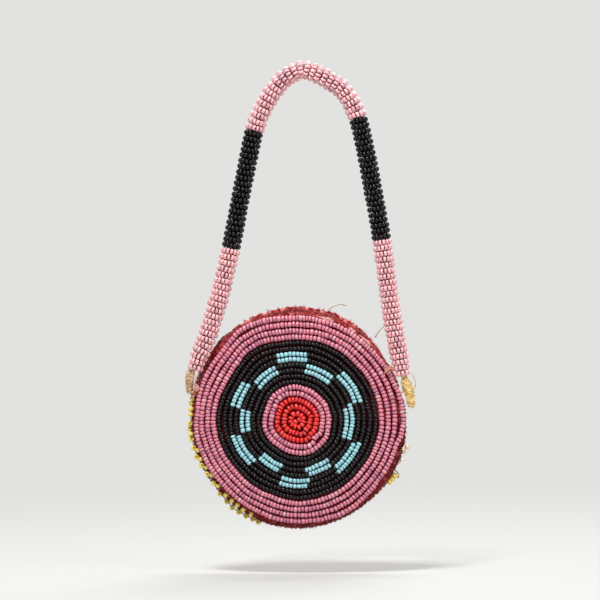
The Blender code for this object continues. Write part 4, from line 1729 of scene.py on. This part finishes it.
class WATCHPOUCH_OT_edging(bpy.types.Operator):
    """Make the edge beads, the seam's stitches and the strip of hide"""

    bl_idname = "watchpouch.edging"
    bl_label = "Edging and seam"

    def execute(self, context):
        make_edge_beads()
        make_seam()
        make_mouth_strip()
        return {"FINISHED"}


class WATCHPOUCH_OT_strap(bpy.types.Operator):
    """Make the strap's core and the beads wound round it"""

    bl_idname = "watchpouch.strap"
    bl_label = "Strap"

    def execute(self, context):
        make_core()
        make_strap()
        return {"FINISHED"}


class WATCHPOUCH_OT_ties(bpy.types.Operator):
    """Make the hide ties at the strap's ends"""

    bl_idname = "watchpouch.ties"
    bl_label = "Ties"

    def execute(self, context):
        make_ties()
        return {"FINISHED"}


class WATCHPOUCH_OT_thongs(bpy.types.Operator):
    """Make the thongs and the laps of hide at the rim"""

    bl_idname = "watchpouch.thongs"
    bl_label = "Thongs"

    def execute(self, context):
        make_thongs()
        make_laps()
        return {"FINISHED"}


class WATCHPOUCH_OT_sinew(bpy.types.Operator):
    """Make the loose ends of sinew at the mouth"""

    bl_idname = "watchpouch.sinew"
    bl_label = "Sinew ends"

    def execute(self, context):
        make_sinew()
        return {"FINISHED"}


OPERATORS = (
    WATCHPOUCH_OT_stage,
    WATCHPOUCH_OT_linings,
    WATCHPOUCH_OT_cloth,
    WATCHPOUCH_OT_beadwork,
    WATCHPOUCH_OT_edging,
    WATCHPOUCH_OT_strap,
    WATCHPOUCH_OT_ties,
    WATCHPOUCH_OT_thongs,
    WATCHPOUCH_OT_sinew,
)


class WATCHPOUCH_PT_panel(bpy.types.Panel):
    """Lists the pouch's pieces"""

    bl_idname = "WATCHPOUCH_PT_panel"
    bl_label = "Watch Pouch"
    bl_space_type = "VIEW_3D"
    bl_region_type = "UI"
    bl_category = "Watch Pouch"

    def draw(self, context):
        for operator in OPERATORS:
            self.layout.operator(operator.bl_idname)
        for key, group in SETTINGS.items():
            box = self.layout.box()
            for name in group.__annotations__:
                box.prop(getattr(context.scene, key), name)


def register():
    for group in (*SETTINGS.values(), *OPERATORS, WATCHPOUCH_PT_panel):
        bpy.utils.register_class(group)
    for key, group in SETTINGS.items():
        setattr(bpy.types.Scene, key, PointerProperty(type=group))


def unregister():
    for key in SETTINGS:
        delattr(bpy.types.Scene, key)
    for group in (WATCHPOUCH_PT_panel, *OPERATORS[::-1], *SETTINGS.values()):
        bpy.utils.unregister_class(group)


def main():
    register()
    for operator in OPERATORS:
        _, name = operator.bl_idname.split(".")
        getattr(bpy.ops.watchpouch, name)()


if __name__ == "__main__":
    main()
